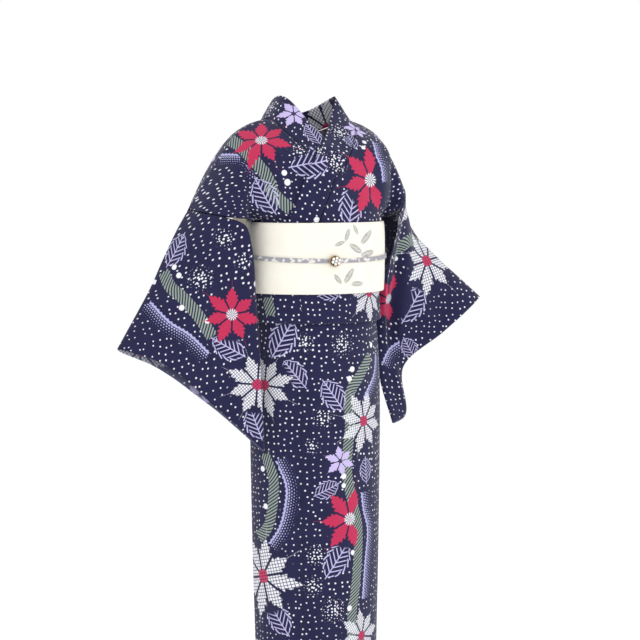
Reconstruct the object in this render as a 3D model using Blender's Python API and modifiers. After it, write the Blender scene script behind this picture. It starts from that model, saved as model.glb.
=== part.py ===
# Cotton yukata robe with its obi, worn form, standing open and empty.
# Metres, +Z up, front towards -Y, +X is the wearer's left; the origin lies between the shoulders.
import math

import bmesh
import bpy
import numpy as np

# Driving sizes
CLOTH = 0.0015          # wall of the cotton cloth
OBI_CLOTH = 0.003       # the obi is doubled and stiff
SEAM_GAP = 0.0004       # clear space along a seam
BACK_SEAM_CLEAR = 0.0006  # from the middle line to each back panel's edge
ARMHOLE_GAP = 0.0034    # between wall middles at the armhole, where the walls meet at an angle
COLLAR_GAP = 0.0017     # between the collar's seam line and the panel's middle, which meet at an angle
COLLAR_CLOTH = 0.0025   # the collar is folded double
COLLAR_STEPS = 28
NECK_SIDE_ROW = 4       # row of the collar tables at the side of the neck
ARMPIT_FOLD = 0.158     # from the middle to the deep fold beside the chest
ARMPIT_FOLD_DEPTH = 0.032
ARMPIT_FOLD_WIDTH = 0.022
CHEST_SWELL = 0.020     # how far the front panels stand out between their lines, at most
BACK_SWELL = 0.060
LAYER = 0.0033          # step between cloth layers that lie on each other
LAYER_RUN = 38.0        # degrees over which that step is made
HEM = -1.290
TUCK_EDGE = -0.422      # lower fold of the waist tuck
HIDDEN_TOP = -0.300     # the skirt begins here, under the obi
OBI_TOP = -0.218
OBI_BOTTOM = -0.365
BLOUSE_LINE = -0.212    # where the bodice goes in under the obi
OKUMI_SEAM = 33.0       # degrees past the front middle, towards the other side
FRONT_EDGE = 97.0       # where the overlap panel ends
HEM_LIFT = 0.014        # the overlap panel's hem rises to its free corner
HEM_LIFT_START = 40.0
SKIRT_STEP = 8.6        # degrees across one facet
SKIRT_SIDE_SEAM = 61.0
UPPER_SIDE_SEAM = 75.0

# Half width, half depth and middle of the worn tube at a few heights
SKIRT_FORM = (
    # height, half_width, half_depth, middle_y
    (-0.300, 0.1260, 0.0970, 0.000),
    (-0.371, 0.1280, 0.0990, 0.000),
    (-0.430, 0.1340, 0.1060, 0.001),
    (-0.520, 0.1400, 0.1150, 0.003),
    (-0.640, 0.1425, 0.1190, 0.004),
    (-0.900, 0.1390, 0.1180, 0.002),
    (-1.107, 0.1340, 0.1150, 0.000),
    (-1.290, 0.1310, 0.1130, 0.000),
)
UPPER_FORM = (
    (-0.100, 0.150, 0.096, 0.006),
    (-0.160, 0.147, 0.103, 0.002),
    (-0.212, 0.142, 0.104, 0.000),
    (-0.300, 0.140, 0.1065, 0.000),
    (-0.371, 0.140, 0.108, 0.000),
    (-0.422, 0.143, 0.1145, 0.001),
)
OBI_FORM = (
    (-0.365, 0.1475, 0.1130, 0.000),
    (-0.330, 0.1490, 0.1140, 0.000),
    (-0.275, 0.1495, 0.1145, 0.000),
    (-0.240, 0.1490, 0.1140, 0.000),
    (-0.218, 0.1470, 0.1125, 0.000),
)

# Collar, from the nape to where it goes under the obi: its free edge and its sewn edge
LEFT_COLLAR = (
    # edge x, y, z, seam x, y, z
    (0.000, 0.148, 0.008, 0.000, 0.163, -0.044),
    (0.036, 0.138, 0.016, 0.046, 0.156, -0.034),
    (0.057, 0.108, 0.030, 0.080, 0.120, -0.018),
    (0.064, 0.072, 0.042, 0.092, 0.074, -0.006),
    (0.063, 0.040, 0.046, 0.092, 0.036, -0.003),
    (0.054, 0.027, 0.028, 0.090, 0.012, -0.010),
    (0.042, 0.012, 0.010, 0.084, -0.016, -0.022),
    (0.023, -0.014, -0.014, 0.066, -0.046, -0.044),
    (0.000, -0.044, -0.040, 0.046, -0.074, -0.070),
    (-0.016, -0.067, -0.056, 0.032, -0.088, -0.086),
    (-0.034, -0.086, -0.078, 0.014, -0.100, -0.108),
    (-0.052, -0.095, -0.099, -0.004, -0.105, -0.128),
    (-0.082, -0.087, -0.170, -0.034, -0.103, -0.197),
    (-0.100, -0.078, -0.218, -0.054, -0.098, -0.243),
    (-0.118, -0.060, -0.262, -0.078, -0.090, -0.288),
)
RIGHT_COLLAR = (
    (0.000, 0.148, 0.008, 0.000, 0.163, -0.044),
    (-0.036, 0.138, 0.016, -0.046, 0.156, -0.034),
    (-0.057, 0.108, 0.030, -0.080, 0.120, -0.018),
    (-0.064, 0.072, 0.042, -0.092, 0.074, -0.006),
    (-0.063, 0.040, 0.046, -0.092, 0.036, -0.003),
    (-0.057, 0.014, 0.038, -0.091, 0.010, -0.010),
    (-0.046, -0.001, 0.022, -0.086, -0.014, -0.022),
    (-0.034, -0.010, 0.004, -0.076, -0.034, -0.038),
    (-0.020, -0.027, -0.018, -0.062, -0.054, -0.058),
    (-0.002, -0.046, -0.042, -0.044, -0.073, -0.078),
    (0.026, -0.068, -0.066, -0.020, -0.088, -0.100),
    (0.052, -0.082, -0.099, 0.004, -0.096, -0.128),
    (0.082, -0.080, -0.170, 0.034, -0.096, -0.197),
    (0.100, -0.071, -0.218, 0.054, -0.091, -0.243),
    (0.118, -0.052, -0.262, 0.078, -0.083, -0.288),
)

# Lines along the shoulder and round the armhole, for each side
SHOULDER = {
    "left": ((0.092, 0.036, -0.003), (0.126, 0.030, -0.016), (0.160, 0.025, -0.040),
             (0.186, 0.030, -0.084), (0.210, 0.040, -0.138)),
    "right": ((-0.092, 0.036, -0.003), (-0.130, 0.032, -0.012), (-0.172, 0.028, -0.038),
              (-0.212, 0.034, -0.093), (-0.267, 0.054, -0.190)),
}
ARMHOLE_FRONT = {
    "left": ((0.210, 0.040, -0.138), (0.206, -0.006, -0.148), (0.190, -0.042, -0.168),
             (0.165, -0.056, -0.192), (0.137, -0.027, -0.212)),
    "right": ((-0.267, 0.054, -0.190), (-0.254, 0.000, -0.196), (-0.218, -0.044, -0.204),
              (-0.176, -0.060, -0.210), (-0.137, -0.027, -0.212)),
}
ARMHOLE_BACK = {
    "left": ((0.210, 0.040, -0.138), (0.211, 0.074, -0.151), (0.198, 0.090, -0.176),
             (0.168, 0.062, -0.200), (0.137, -0.027, -0.212)),
    "right": ((-0.267, 0.054, -0.190), (-0.254, 0.086, -0.196), (-0.218, 0.094, -0.204),
              (-0.174, 0.062, -0.210), (-0.137, -0.027, -0.212)),
}
CENTRE_BACK = ((0.0, 0.163, -0.044), (0.0, 0.160, -0.090), (0.0, 0.140, -0.150), (0.0, 0.104, -0.212))

# Sleeve lines: fold over the arm, bottom seam, free inner edges, and the two sides of the cuff
SLEEVE_TOP = {
    "left": ((0.210, 0.040, -0.138), (0.236, 0.054, -0.194), (0.266, 0.064, -0.242),
             (0.306, 0.058, -0.288), (0.410, 0.015, -0.392)),
    "right": ((-0.267, 0.054, -0.190), (-0.293, 0.060, -0.238), (-0.322, 0.062, -0.296),
              (-0.358, 0.050, -0.360), (-0.436, 0.020, -0.472)),
}
SLEEVE_BOTTOM = {
    "left": ((0.158, 0.034, -0.361), (0.157, 0.036, -0.460), (0.157, 0.010, -0.560),
             (0.158, -0.050, -0.652)),
    "right": ((-0.156, -0.042, -0.361), (-0.157, -0.062, -0.470), (-0.156, -0.072, -0.590),
              (-0.150, -0.070, -0.690)),
}
SLEEVE_INNER_FRONT = {
    "left": ((0.210, 0.040, -0.138), (0.206, -0.006, -0.148), (0.190, -0.042, -0.168),
             (0.172, -0.052, -0.198), (0.166, -0.050, -0.242), (0.163, -0.012, -0.310),
             (0.158, 0.034, -0.361)),
    "right": ((-0.267, 0.054, -0.190), (-0.254, 0.000, -0.196), (-0.218, -0.044, -0.204),
              (-0.184, -0.060, -0.220), (-0.172, -0.062, -0.260), (-0.163, -0.056, -0.310),
              (-0.156, -0.042, -0.361)),
}
SLEEVE_INNER_BACK = {
    "left": ((0.210, 0.040, -0.138), (0.211, 0.074, -0.151), (0.198, 0.090, -0.176),
             (0.192, 0.072, -0.240), (0.180, 0.052, -0.310), (0.158, 0.034, -0.361)),
    "right": ((-0.267, 0.054, -0.190), (-0.254, 0.086, -0.196), (-0.218, 0.094, -0.204),
              (-0.196, 0.070, -0.250), (-0.180, 0.016, -0.312), (-0.156, -0.042, -0.361)),
}
CUFF_MIDDLE = {
    "left": ((0.410, 0.015, -0.392), (0.318, 0.026, -0.468), (0.228, 0.034, -0.540),
             (0.208, -0.018, -0.632), (0.158, -0.050, -0.652)),
    "right": ((-0.436, 0.020, -0.472), (-0.340, 0.002, -0.514), (-0.252, -0.030, -0.590),
              (-0.200, -0.052, -0.640), (-0.150, -0.070, -0.690)),
}
CUFF_SPREAD = (
    # share of the edge from the fold to the bottom, half opening
    (0.00, 0.0000),
    (0.06, 0.0160),
    (0.16, 0.0230),
    (0.32, 0.0210),
    (0.48, 0.0120),
    (0.60, 0.0030),
    (0.66, 0.0012),
    (1.00, 0.0012),
)
CUFF_NORMAL = {"left": (0.19, 0.98, -0.11), "right": (-0.15, 0.97, -0.10)}

# The drum's loop at the back: height, share of the way out to the flat face, extra swell
DRUM_HALF_WIDTH = 0.130
DRUM_DEPTH = 0.176
DRUM_LOOP = (
    (-0.232, 0.00, 0.0000),
    (-0.290, 0.00, 0.0000),
    (-0.345, 0.00, 0.0000),
    (-0.400, 0.10, 0.0020),
    (-0.432, 0.32, 0.0000),
    (-0.440, 0.62, 0.0000),
    (-0.425, 0.90, 0.0000),
    (-0.380, 1.00, 0.0040),
    (-0.320, 1.00, 0.0060),
    (-0.260, 1.00, 0.0020),
    (-0.215, 0.90, 0.0000),
    (-0.194, 0.64, 0.0000),
    (-0.192, 0.34, 0.0000),
    (-0.206, 0.12, 0.0020),
)
DRUM_OUT = 0.0026       # middles of the drum's inner wall and of the tail, over the band
DRUM_EASE = 0.0026      # the inner wall stands off a little more at its sides
DRUM_CURVE = 0.018      # the outer face falls back to its sides
KNOT_CLOTH = 0.0025
TAIL_OUT = 0.0070
TAIL_HEIGHTS = (-0.252, -0.290, -0.328)
TAIL_ENDS = (104.0, 256.0)
CORD_HEIGHT = -0.2885
CORD_DIP = 0.0075       # lower at the front
CORD_OUT = 0.0018       # the cord's middle over the band, and further out where it passes the tail
CORD_OVER_TAIL = 0.0088
CORD_HALF_TALL = 0.0045
CORD_HALF_THICK = 0.0015
CORD_CORNER = 0.8       # share of the height left at full thickness
ORNAMENT_ANGLE = -5.0
ORNAMENT_WIDTH = 0.027
ORNAMENT_TALL = 0.023
ORNAMENT_DEPTH = 0.004
ORNAMENT_OUT = 0.0041   # back of the plate over the band, clear of the cord
PEARL_RADIUS = 0.0031
PEARL_RING = (0.0078, 0.0064)
PEARL_CLEAR = 0.0003

INDIGO = (0.030, 0.030, 0.075)
IVORY = (0.80, 0.77, 0.68)
LILAC_GREY = (0.36, 0.34, 0.40)
BRONZE = (0.20, 0.14, 0.07)
PEARL = (0.86, 0.84, 0.80)


def clear_scene():
    for item in list(bpy.data.objects):
        bpy.data.objects.remove(item, do_unlink=True)


def finish_material(name, colour, roughness, metallic=0.0):
    material = bpy.data.materials.new(name)
    material.use_nodes = True
    shader = material.node_tree.nodes["Principled BSDF"]
    shader.inputs["Base Color"].default_value = (*colour, 1.0)
    shader.inputs["Roughness"].default_value = roughness
    shader.inputs["Metallic"].default_value = metallic
    return material


def ease(value):
    value = min(1.0, max(0.0, value))
    return value * value * (3.0 - 2.0 * value)


def curve_through(points, count):
    """Evenly spaced points on a smooth curve through the given ones."""
    points = np.array(points, float)
    ends = np.vstack([2 * points[0] - points[1], points, 2 * points[-1] - points[-2]])
    dense = []
    for i in range(len(points) - 1):
        a, b, c, d = ends[i:i + 4]
        for t in np.linspace(0.0, 1.0, 24, endpoint=False):
            dense.append(0.5 * (2 * b + (c - a) * t + (2 * a - 5 * b + 4 * c - d) * t ** 2
                                + (3 * b - a - 3 * c + d) * t ** 3))
    dense.append(points[-1])
    dense = np.array(dense)
    length = np.concatenate([[0.0], np.cumsum(np.linalg.norm(np.diff(dense, axis=0), axis=1))])
    steps = np.linspace(0.0, length[-1], count)
    return np.stack([np.interp(steps, length, dense[:, k]) for k in range(dense.shape[1])], axis=1)


def form_at(form, height):
    """Half width, half depth and middle of a form at a height, smoothly between its rows."""
    rows = np.array(sorted(form))
    dense = curve_through(rows, 60)
    return [float(np.interp(height, dense[:, 0], dense[:, k])) for k in (1, 2, 3)]


def form_point(form, degrees, height, out=0.0):
    """Point on a form at an angle from the front middle, moved out by a distance."""
    half_width, half_depth, middle = form_at(form, height)
    angle = math.radians(degrees)
    normal = np.array([math.sin(angle) / half_width, -math.cos(angle) / half_depth])
    normal /= np.linalg.norm(normal)
    return (half_width * math.sin(angle) + out * normal[0],
            middle - half_depth * math.cos(angle) + out * normal[1], height)


def chest_y(x, height):
    half_width, half_depth, middle = form_at(UPPER_FORM, max(height, -0.30))
    return middle - half_depth * math.sqrt(max(0.04, 1.0 - (x / half_width) ** 2))


def patch(top, bottom, inner, outer):
    """Surface filled between four lines that share their corners, as rows of points."""
    rows, columns = len(inner), len(top)
    s = np.linspace(0, 1, columns)[None, :, None]
    t = np.linspace(0, 1, rows)[:, None, None]
    across = (1 - s) * inner[:, None, :] + s * outer[:, None, :]
    down = (1 - t) * top[None, :, :] + t * bottom[None, :, :]
    corners = ((1 - s) * (1 - t) * top[0] + s * (1 - t) * top[-1]
               + (1 - s) * t * bottom[0] + s * t * bottom[-1])
    return across + down - corners


def settled(grid, rounds):
    """Grid with its inner points eased towards their neighbours, its border kept."""
    for _ in range(rounds):
        middle = 0.25 * (grid[:-2, 1:-1] + grid[2:, 1:-1] + grid[1:-1, :-2] + grid[1:-1, 2:])
        grid[1:-1, 1:-1] = 0.4 * grid[1:-1, 1:-1] + 0.6 * middle
    return grid


def cloth_object(name, rows, material, thickness=CLOTH, closed_across=False, closed_down=False, offset=0.0):
    """Wall of cloth over rows of points."""
    rows = np.asarray(rows)
    mesh = bpy.data.meshes.new(name)
    shape = bmesh.new()
    points = [[shape.verts.new(tuple(point)) for point in row] for row in rows]
    row_steps = len(points) if closed_down else len(points) - 1
    column_steps = len(points[0]) if closed_across else len(points[0]) - 1
    for j in range(row_steps):
        upper, lower = points[j], points[(j + 1) % len(points)]
        for i in range(column_steps):
            k = (i + 1) % len(upper)
            shape.faces.new((upper[i], lower[i], lower[k], upper[k]))
    shape.normal_update()
    shape.to_mesh(mesh)
    shape.free()
    item = bpy.data.objects.new(name, mesh)
    robe.objects.link(item)
    mesh.materials.append(material)
    wall = item.modifiers.new("Wall", "SOLIDIFY")
    wall.thickness = thickness
    wall.offset = offset
    wall.use_even_offset = True
    return item


def layer_step(own_angle, side_seam):
    """Share of a layer step: none at the own side seam, whole where the fronts cross."""
    return ease((side_seam - own_angle) / LAYER_RUN)


def trimmed(start, end, radius=0.13):
    """Angles of a panel, drawn in by half the seam gap at both sides."""
    trim = math.degrees(0.5 * SEAM_GAP / radius)
    return (start + trim, end - trim) if end > start else (start - trim, end + trim)


def build_skirt():
    heights = (HIDDEN_TOP, -0.371, -0.430, -0.540, -0.720, -0.980, HEM)
    panels = (
        # name, side, own start angle, own end angle, overlapping part
        ("skirt_back", 180.0, SKIRT_SIDE_SEAM, False),
        ("skirt_front", SKIRT_SIDE_SEAM, -OKUMI_SEAM, True),
        ("skirt_okumi", -OKUMI_SEAM, -FRONT_EDGE, True),
    )
    for side, sign in (("left", 1.0), ("right", -1.0)):
        for name, start, end, overlaps in panels:
            first, last = trimmed(start, end)
            count = max(5, int(abs(last - first) / SKIRT_STEP) + 1)
            rows = []
            for height in heights:
                row = []
                for own in np.linspace(first, last, count):
                    out = sign * LAYER * layer_step(own, SKIRT_SIDE_SEAM) if overlaps else 0.0
                    share = ease((-own - HEM_LIFT_START) / (FRONT_EDGE - HEM_LIFT_START))
                    lift = HEM_LIFT * share if overlaps else 0.0
                    level = height + (lift if height == HEM else 0.0)
                    point = form_point(SKIRT_FORM, sign * own, level, out)
                    row.append(point)
                rows.append(row)
            cloth_object(f"{name}_{side}", rows, indigo)


def collar_lines(table, sign, count):
    """Free edge and seam line of one half of the collar, laid on the chest where it reaches it."""
    line = curve_through(table, count)
    edge, seam = line[:, :3].copy(), line[:, 3:].copy()
    for points in (edge, seam):
        for point in points:
            share = ease((-0.075 - point[2]) / 0.03) if point[1] < 0.0 else 0.0
            laid = chest_y(point[0], point[2]) - sign * LAYER
            point[1] += share * (laid - point[1])
    return edge, seam


def seam_beside(edge, seam):
    """The collar's seam line moved clear of the collar, for the panel that is sewn to it."""
    away = seam - edge
    away /= np.linalg.norm(away, axis=1)[:, None]
    return seam + away * COLLAR_GAP


def build_upper():
    columns = 13
    for side, sign, table in (("left", 1.0, LEFT_COLLAR), ("right", -1.0, RIGHT_COLLAR)):
        edge, seam = collar_lines(table, sign, COLLAR_STEPS)
        beside = seam_beside(edge, seam)
        neck_side = int(np.argmin(np.linalg.norm(seam - np.array(table[NECK_SIDE_ROW][3:]), axis=1)))
        low = int(np.argmin(np.abs(seam[:, 2] - (BLOUSE_LINE + 0.012))))
        inner = np.vstack([beside[neck_side:low + 1], beside[low:low + 1]])
        chest_rows = len(inner)
        shoulder = curve_through(SHOULDER[side], columns)
        shoulder[0] = inner[0]
        side_point = form_point(UPPER_FORM, sign * UPPER_SIDE_SEAM, BLOUSE_LINE)
        outer = curve_through(ARMHOLE_FRONT[side], chest_rows)
        outer[-1] = side_point
        rows_below = []
        for height in (BLOUSE_LINE, -0.255, -0.305, -0.371, TUCK_EDGE):
            collar_x = -0.066 - 0.5 * height
            under_collar = math.degrees(math.asin(min(0.9, collar_x / 0.142))) - 1.3
            reach = min(OKUMI_SEAM, under_collar)
            row = []
            first, last = trimmed(UPPER_SIDE_SEAM, -reach)
            for own in np.linspace(last, first, columns):
                out = sign * LAYER * layer_step(own, UPPER_SIDE_SEAM)
                row.append(form_point(UPPER_FORM, sign * own, height, out))
            rows_below.append(row)
        bottom = np.array(rows_below[0])
        inner[-1] = bottom[0]
        outer[-1] = bottom[-1]
        front = patch(shoulder, bottom, inner, outer)
        for j in range(1, chest_rows - 1):
            for i in range(1, columns - 1):
                x, y, z = front[j, i]
                s, t = i / (columns - 1), j / chest_rows
                share = ease((-0.050 - z) / 0.05) * ease((0.150 - abs(x)) / 0.045)
                own = math.degrees(math.asin(max(-1.0, min(1.0, sign * x / 0.145))))
                laid = chest_y(x, z) - sign * LAYER * layer_step(own, UPPER_SIDE_SEAM)
                swell = CHEST_SWELL * 27 * s * (1 - s) ** 2 * t * (1 - t)
                front[j, i, 1] += share * (laid - y) - (1 - share) * swell
        front = settled(front, 6)
        for row in front[1:-1]:
            for point in row[1:-1]:
                dent = math.exp(-((abs(point[0]) - ARMPIT_FOLD) / ARMPIT_FOLD_WIDTH) ** 2)
                point[1] += ARMPIT_FOLD_DEPTH * dent * ease((-0.070 - point[2]) / 0.06)
        front = settled(front, 1)
        centre = curve_through(CENTRE_BACK, 8)
        neck_in = np.vstack([beside[neck_side::-1], centre[1:]])
        back_rows = len(neck_in)
        back_outer = curve_through(ARMHOLE_BACK[side], back_rows)
        back_below = []
        for height in (BLOUSE_LINE, -0.300, -0.371, TUCK_EDGE):
            first, last = trimmed(UPPER_SIDE_SEAM, 180.0)
            back_below.append([form_point(UPPER_FORM, sign * own, height)
                               for own in np.linspace(last, first, columns)])
        back_bottom = np.array(back_below[0])
        neck_in[0] = shoulder[0]
        neck_in[-1] = back_bottom[0]
        back_outer[-1] = back_bottom[-1]
        back = patch(shoulder, back_bottom, neck_in, back_outer)
        back[:, :, 0] = sign * np.maximum(sign * back[:, :, 0], BACK_SEAM_CLEAR)
        for j in range(1, back_rows - 1):
            for i in range(1, columns - 1):
                s, t = i / (columns - 1), j / (back_rows - 1)
                back[j, i, 1] += BACK_SWELL * 4 * s * (1 - s) * t * (1 - t)
        rows = list(back_below[:0:-1]) + [list(r) for r in back[::-1]] + [list(r) for r in front[1:]]
        rows += rows_below[1:]
        cloth_object(f"upper_body_{side}", rows, indigo)
    okumi_rows = []
    first, last = trimmed(-OKUMI_SEAM, -FRONT_EDGE)
    for height in (-0.305, -0.371, TUCK_EDGE):
        okumi_rows.append([form_point(UPPER_FORM, own, height, LAYER)
                           for own in np.linspace(first, last, 9)])
    cloth_object("upper_okumi_left", okumi_rows, indigo)


def build_collar():
    left_edge, left_seam = collar_lines(LEFT_COLLAR, 1.0, COLLAR_STEPS)
    right_edge, right_seam = collar_lines(RIGHT_COLLAR, -1.0, COLLAR_STEPS)
    edges = np.vstack([right_edge[::-1], left_edge[1:]])
    seams = np.vstack([right_seam[::-1], left_seam[1:]])
    rows = []
    for share in (0.0, 0.35, 0.7, 1.0):
        rows.append((1 - share) * edges + share * seams)
    cloth_object("collar", rows, indigo, thickness=COLLAR_CLOTH)


def build_sleeves():
    across, along = 12, 9
    for side in ("left", "right"):
        top = curve_through(SLEEVE_TOP[side], along)
        bottom = curve_through(SLEEVE_BOTTOM[side], along)
        middle = curve_through(CUFF_MIDDLE[side], across)
        spread = np.array(CUFF_SPREAD)
        normal = np.array(CUFF_NORMAL[side])
        normal /= np.linalg.norm(normal)
        half = np.interp(np.linspace(0, 1, across), spread[:, 0], spread[:, 1])
        loops = []
        halves = []
        for facing, inner_lines in ((-1.0, SLEEVE_INNER_FRONT), (1.0, SLEEVE_INNER_BACK)):
            cuff = middle + facing * half[:, None] * normal[None, :]
            cuff[0], cuff[-1] = top[-1], bottom[-1]
            inner = curve_through(inner_lines[side], across)
            inner[0], inner[-1] = top[0], bottom[0]
            halves.append(patch(top, bottom, inner, cuff))
        front, back = halves
        loop_rows = [front[j] for j in range(across)] + [back[j] for j in range(across - 2, 0, -1)]
        rows = np.array(loop_rows)
        outward = top[1] - top[0]
        outward /= np.linalg.norm(outward)
        rows[:, 0, :] += outward * ARMHOLE_GAP
        cloth_object(f"sleeve_{side}", rows, indigo, closed_down=True)


def build_obi():
    heights = [row[0] for row in OBI_FORM]
    angles = np.linspace(0.0, 360.0, 38, endpoint=False)
    rows = [[form_point(OBI_FORM, a, h, OBI_CLOTH / 2) for a in angles] for h in heights[::-1]]
    cloth_object("obi_band", rows, ivory, thickness=OBI_CLOTH, closed_across=True)


def build_obi_knot():
    # The drum: a loop of obi cloth over the back, its inner side lying on the band
    loop_rows = []
    widths = np.linspace(-DRUM_HALF_WIDTH, DRUM_HALF_WIDTH, 12)
    for height, outer_share, swell in DRUM_LOOP:
        row = []
        for x in widths:
            degrees = 180.0 - math.degrees(math.asin(x / 0.1525))
            level = max(min(height, OBI_TOP), OBI_BOTTOM)
            on_band = form_point(OBI_FORM, degrees, level, OBI_CLOTH + DRUM_OUT)
            flat = DRUM_DEPTH - DRUM_CURVE * (x / DRUM_HALF_WIDTH) ** 2
            near = on_band[1] + DRUM_EASE * (x / DRUM_HALF_WIDTH) ** 2
            y = near + outer_share * (flat - near) + swell
            row.append((x, y, height))
        loop_rows.append(row)
    cloth_object("obi_drum", loop_rows, ivory, thickness=KNOT_CLOTH, closed_down=True)
    # The tail lies across inside the drum, its two ends showing
    rows = []
    for height in TAIL_HEIGHTS:
        rows.append([form_point(OBI_FORM, a, height, OBI_CLOTH + TAIL_OUT)
                     for a in np.linspace(*TAIL_ENDS, 17)])
    cloth_object("obi_tail", rows, ivory, thickness=KNOT_CLOTH)


def cord_out(degrees):
    """How far the cord's middle stands off the obi form: over the tail at the back, else on the band."""
    own = abs((degrees + 180.0) % 360.0 - 180.0)
    return OBI_CLOTH + CORD_OUT + CORD_OVER_TAIL * ease((own - 84.0) / 16.0)


def build_cord():
    tall, thick = CORD_HALF_TALL, CORD_HALF_THICK
    level, edge = CORD_CORNER * tall, 0.5 * thick
    corners = ((-tall, -edge), (-level, -thick), (level, -thick), (tall, -edge),
               (tall, edge), (level, thick), (-level, thick), (-tall, edge))
    mesh = bpy.data.meshes.new("obi_cord")
    shape = bmesh.new()
    rings = []
    for degrees in np.linspace(0.0, 360.0, 56, endpoint=False):
        dip = CORD_HEIGHT - CORD_DIP * max(0.0, math.cos(math.radians(degrees)))
        ring = []
        for rise, out in corners:
            point = form_point(OBI_FORM, degrees, dip, cord_out(degrees) + out)
            ring.append(shape.verts.new((point[0], point[1], dip + rise)))
        rings.append(ring)
    for j, ring in enumerate(rings):
        following = rings[(j + 1) % len(rings)]
        for k in range(len(corners)):
            n = (k + 1) % len(corners)
            shape.faces.new((ring[k], ring[n], following[n], following[k]))
    bmesh.ops.recalc_face_normals(shape, faces=shape.faces)
    shape.to_mesh(mesh)
    shape.free()
    mesh.materials.append(finish_material("cord_lilac_grey", LILAC_GREY, 0.7))
    robe.objects.link(bpy.data.objects.new("obi_cord", mesh))


def turned_solid(name, shape, place, material):
    mesh = bpy.data.meshes.new(name)
    bmesh.ops.recalc_face_normals(shape, faces=shape.faces)
    shape.to_mesh(mesh)
    shape.free()
    mesh.materials.append(material)
    item = bpy.data.objects.new(name, mesh)
    item.location = place
    robe.objects.link(item)


def build_ornament():
    height = CORD_HEIGHT - CORD_DIP
    front = form_point(OBI_FORM, ORNAMENT_ANGLE, height, OBI_CLOTH + ORNAMENT_OUT + ORNAMENT_DEPTH / 2)
    plate = bmesh.new()
    bmesh.ops.create_cone(plate, cap_ends=True, segments=28, radius1=1.0, radius2=0.86, depth=1.0)
    for vert in plate.verts:
        x, y, z = vert.co
        vert.co = (x * ORNAMENT_WIDTH / 2, -z * ORNAMENT_DEPTH, y * ORNAMENT_TALL / 2)
    turned_solid("ornament_plate", plate, front, finish_material("ornament_bronze", BRONZE, 0.35, 1.0))
    pearl = finish_material("ornament_pearl", PEARL, 0.25)
    face = front[1] - ORNAMENT_DEPTH / 2
    places = [(0.0, 0.0)] + [(PEARL_RING[0] * math.cos(a), PEARL_RING[1] * math.sin(a))
                             for a in np.linspace(0.3, 0.3 + 2 * math.pi, 6, endpoint=False)]
    for number, (x, z) in enumerate(places):
        bead = bmesh.new()
        bmesh.ops.create_uvsphere(bead, u_segments=10, v_segments=7, radius=PEARL_RADIUS)
        place = (front[0] + x, face - PEARL_RADIUS - PEARL_CLEAR, front[2] + z)
        turned_solid(f"pearl_{number + 1}", bead, place, pearl)


clear_scene()
robe = bpy.data.collections.new("yukata_robe")
bpy.context.scene.collection.children.link(robe)
indigo = finish_material("indigo_cotton", INDIGO, 0.85)
ivory = finish_material("obi_ivory", IVORY, 0.6)
build_skirt()
build_upper()
build_collar()
build_sleeves()
build_obi()
build_obi_knot()
build_cord()
build_ornament()
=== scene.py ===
# A cotton yukata with its obi, as it is worn, empty and open inside.
# Each section below makes one group of the robe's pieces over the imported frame.
import math

import bmesh
import bpy
import numpy as np
from mathutils import Matrix


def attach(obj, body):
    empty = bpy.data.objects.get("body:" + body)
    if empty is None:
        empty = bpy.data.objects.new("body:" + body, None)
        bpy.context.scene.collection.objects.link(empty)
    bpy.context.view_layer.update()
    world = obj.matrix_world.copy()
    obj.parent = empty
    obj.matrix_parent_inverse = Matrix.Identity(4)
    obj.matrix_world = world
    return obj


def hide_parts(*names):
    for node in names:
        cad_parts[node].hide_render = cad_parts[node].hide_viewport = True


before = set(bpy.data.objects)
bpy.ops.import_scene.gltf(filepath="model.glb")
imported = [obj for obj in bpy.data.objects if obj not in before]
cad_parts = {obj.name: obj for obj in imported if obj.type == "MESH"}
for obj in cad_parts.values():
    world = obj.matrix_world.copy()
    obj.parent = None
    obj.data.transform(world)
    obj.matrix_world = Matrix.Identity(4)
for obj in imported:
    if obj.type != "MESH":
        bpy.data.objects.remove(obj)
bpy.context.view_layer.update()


# The view and the studio: the robe is seen from the front, from its wearer's right and a little from
# above, on white paper under wide soft lamps. The print's layout is measured on this view.
VIEW_TURN = -25.0
VIEW_DISTANCE = 3.7
VIEW_HEIGHT = -0.100
VIEW_AIM = (0.0085, -0.428)      # to the right of the robe's middle line, and height
VIEW_COLUMNS = 640
VIEW_SCALE = 0.00212             # metres in the picture's plane for each of its columns
SENSOR = 36.0
FLOOR_HEIGHT = -1.36
FLOOR_SIZE = 9.0
LAMPS = (
    # name, place, size, watts
    ("key_lamp", (-1.6, -3.0, 1.3), 2.0, 30.0),
    ("fill_lamp", (3.0, -1.6, 0.2), 2.4, 22.0),
    ("back_lamp", (1.2, 2.8, 1.6), 2.0, 10.0),
)
LAMP_AIM = (0.0, 0.0, -0.5)
WHITE = (1.0, 1.0, 1.0, 1.0)
turn = math.radians(VIEW_TURN)
view_right = np.array([math.cos(turn), math.sin(turn), 0.0])
toward_view = np.array([math.sin(turn), -math.cos(turn), 0.0])
eye = view_right * VIEW_AIM[0] + toward_view * VIEW_DISTANCE + np.array([0.0, 0.0, VIEW_HEIGHT])
aim = view_right * VIEW_AIM[0] + np.array([0.0, 0.0, VIEW_AIM[1]])
view_forward = (aim - eye) / np.linalg.norm(aim - eye)
view_up = np.cross(view_right, view_forward)


def seen_at(points):
    """Metres to the right of the view's middle and above it, as the camera sees the points."""
    depth = (points - eye) @ view_forward
    flat = np.stack([(points - eye) @ view_right, (points - eye) @ view_up], axis=-1)
    return flat / depth[..., None] * VIEW_DISTANCE


def aimed(item, place, at):
    """Item put at a place and turned to look at a point."""
    forward = np.array(at, float) - np.array(place, float)
    forward /= np.linalg.norm(forward)
    right = np.cross(forward, (0.0, 0.0, 1.0))
    right /= np.linalg.norm(right)
    up = np.cross(right, forward)
    rows = [[right[k], up[k], -forward[k], place[k]] for k in range(3)]
    item.matrix_world = Matrix(rows + [[0, 0, 0, 1]])
    bpy.context.scene.collection.objects.link(item)


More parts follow.
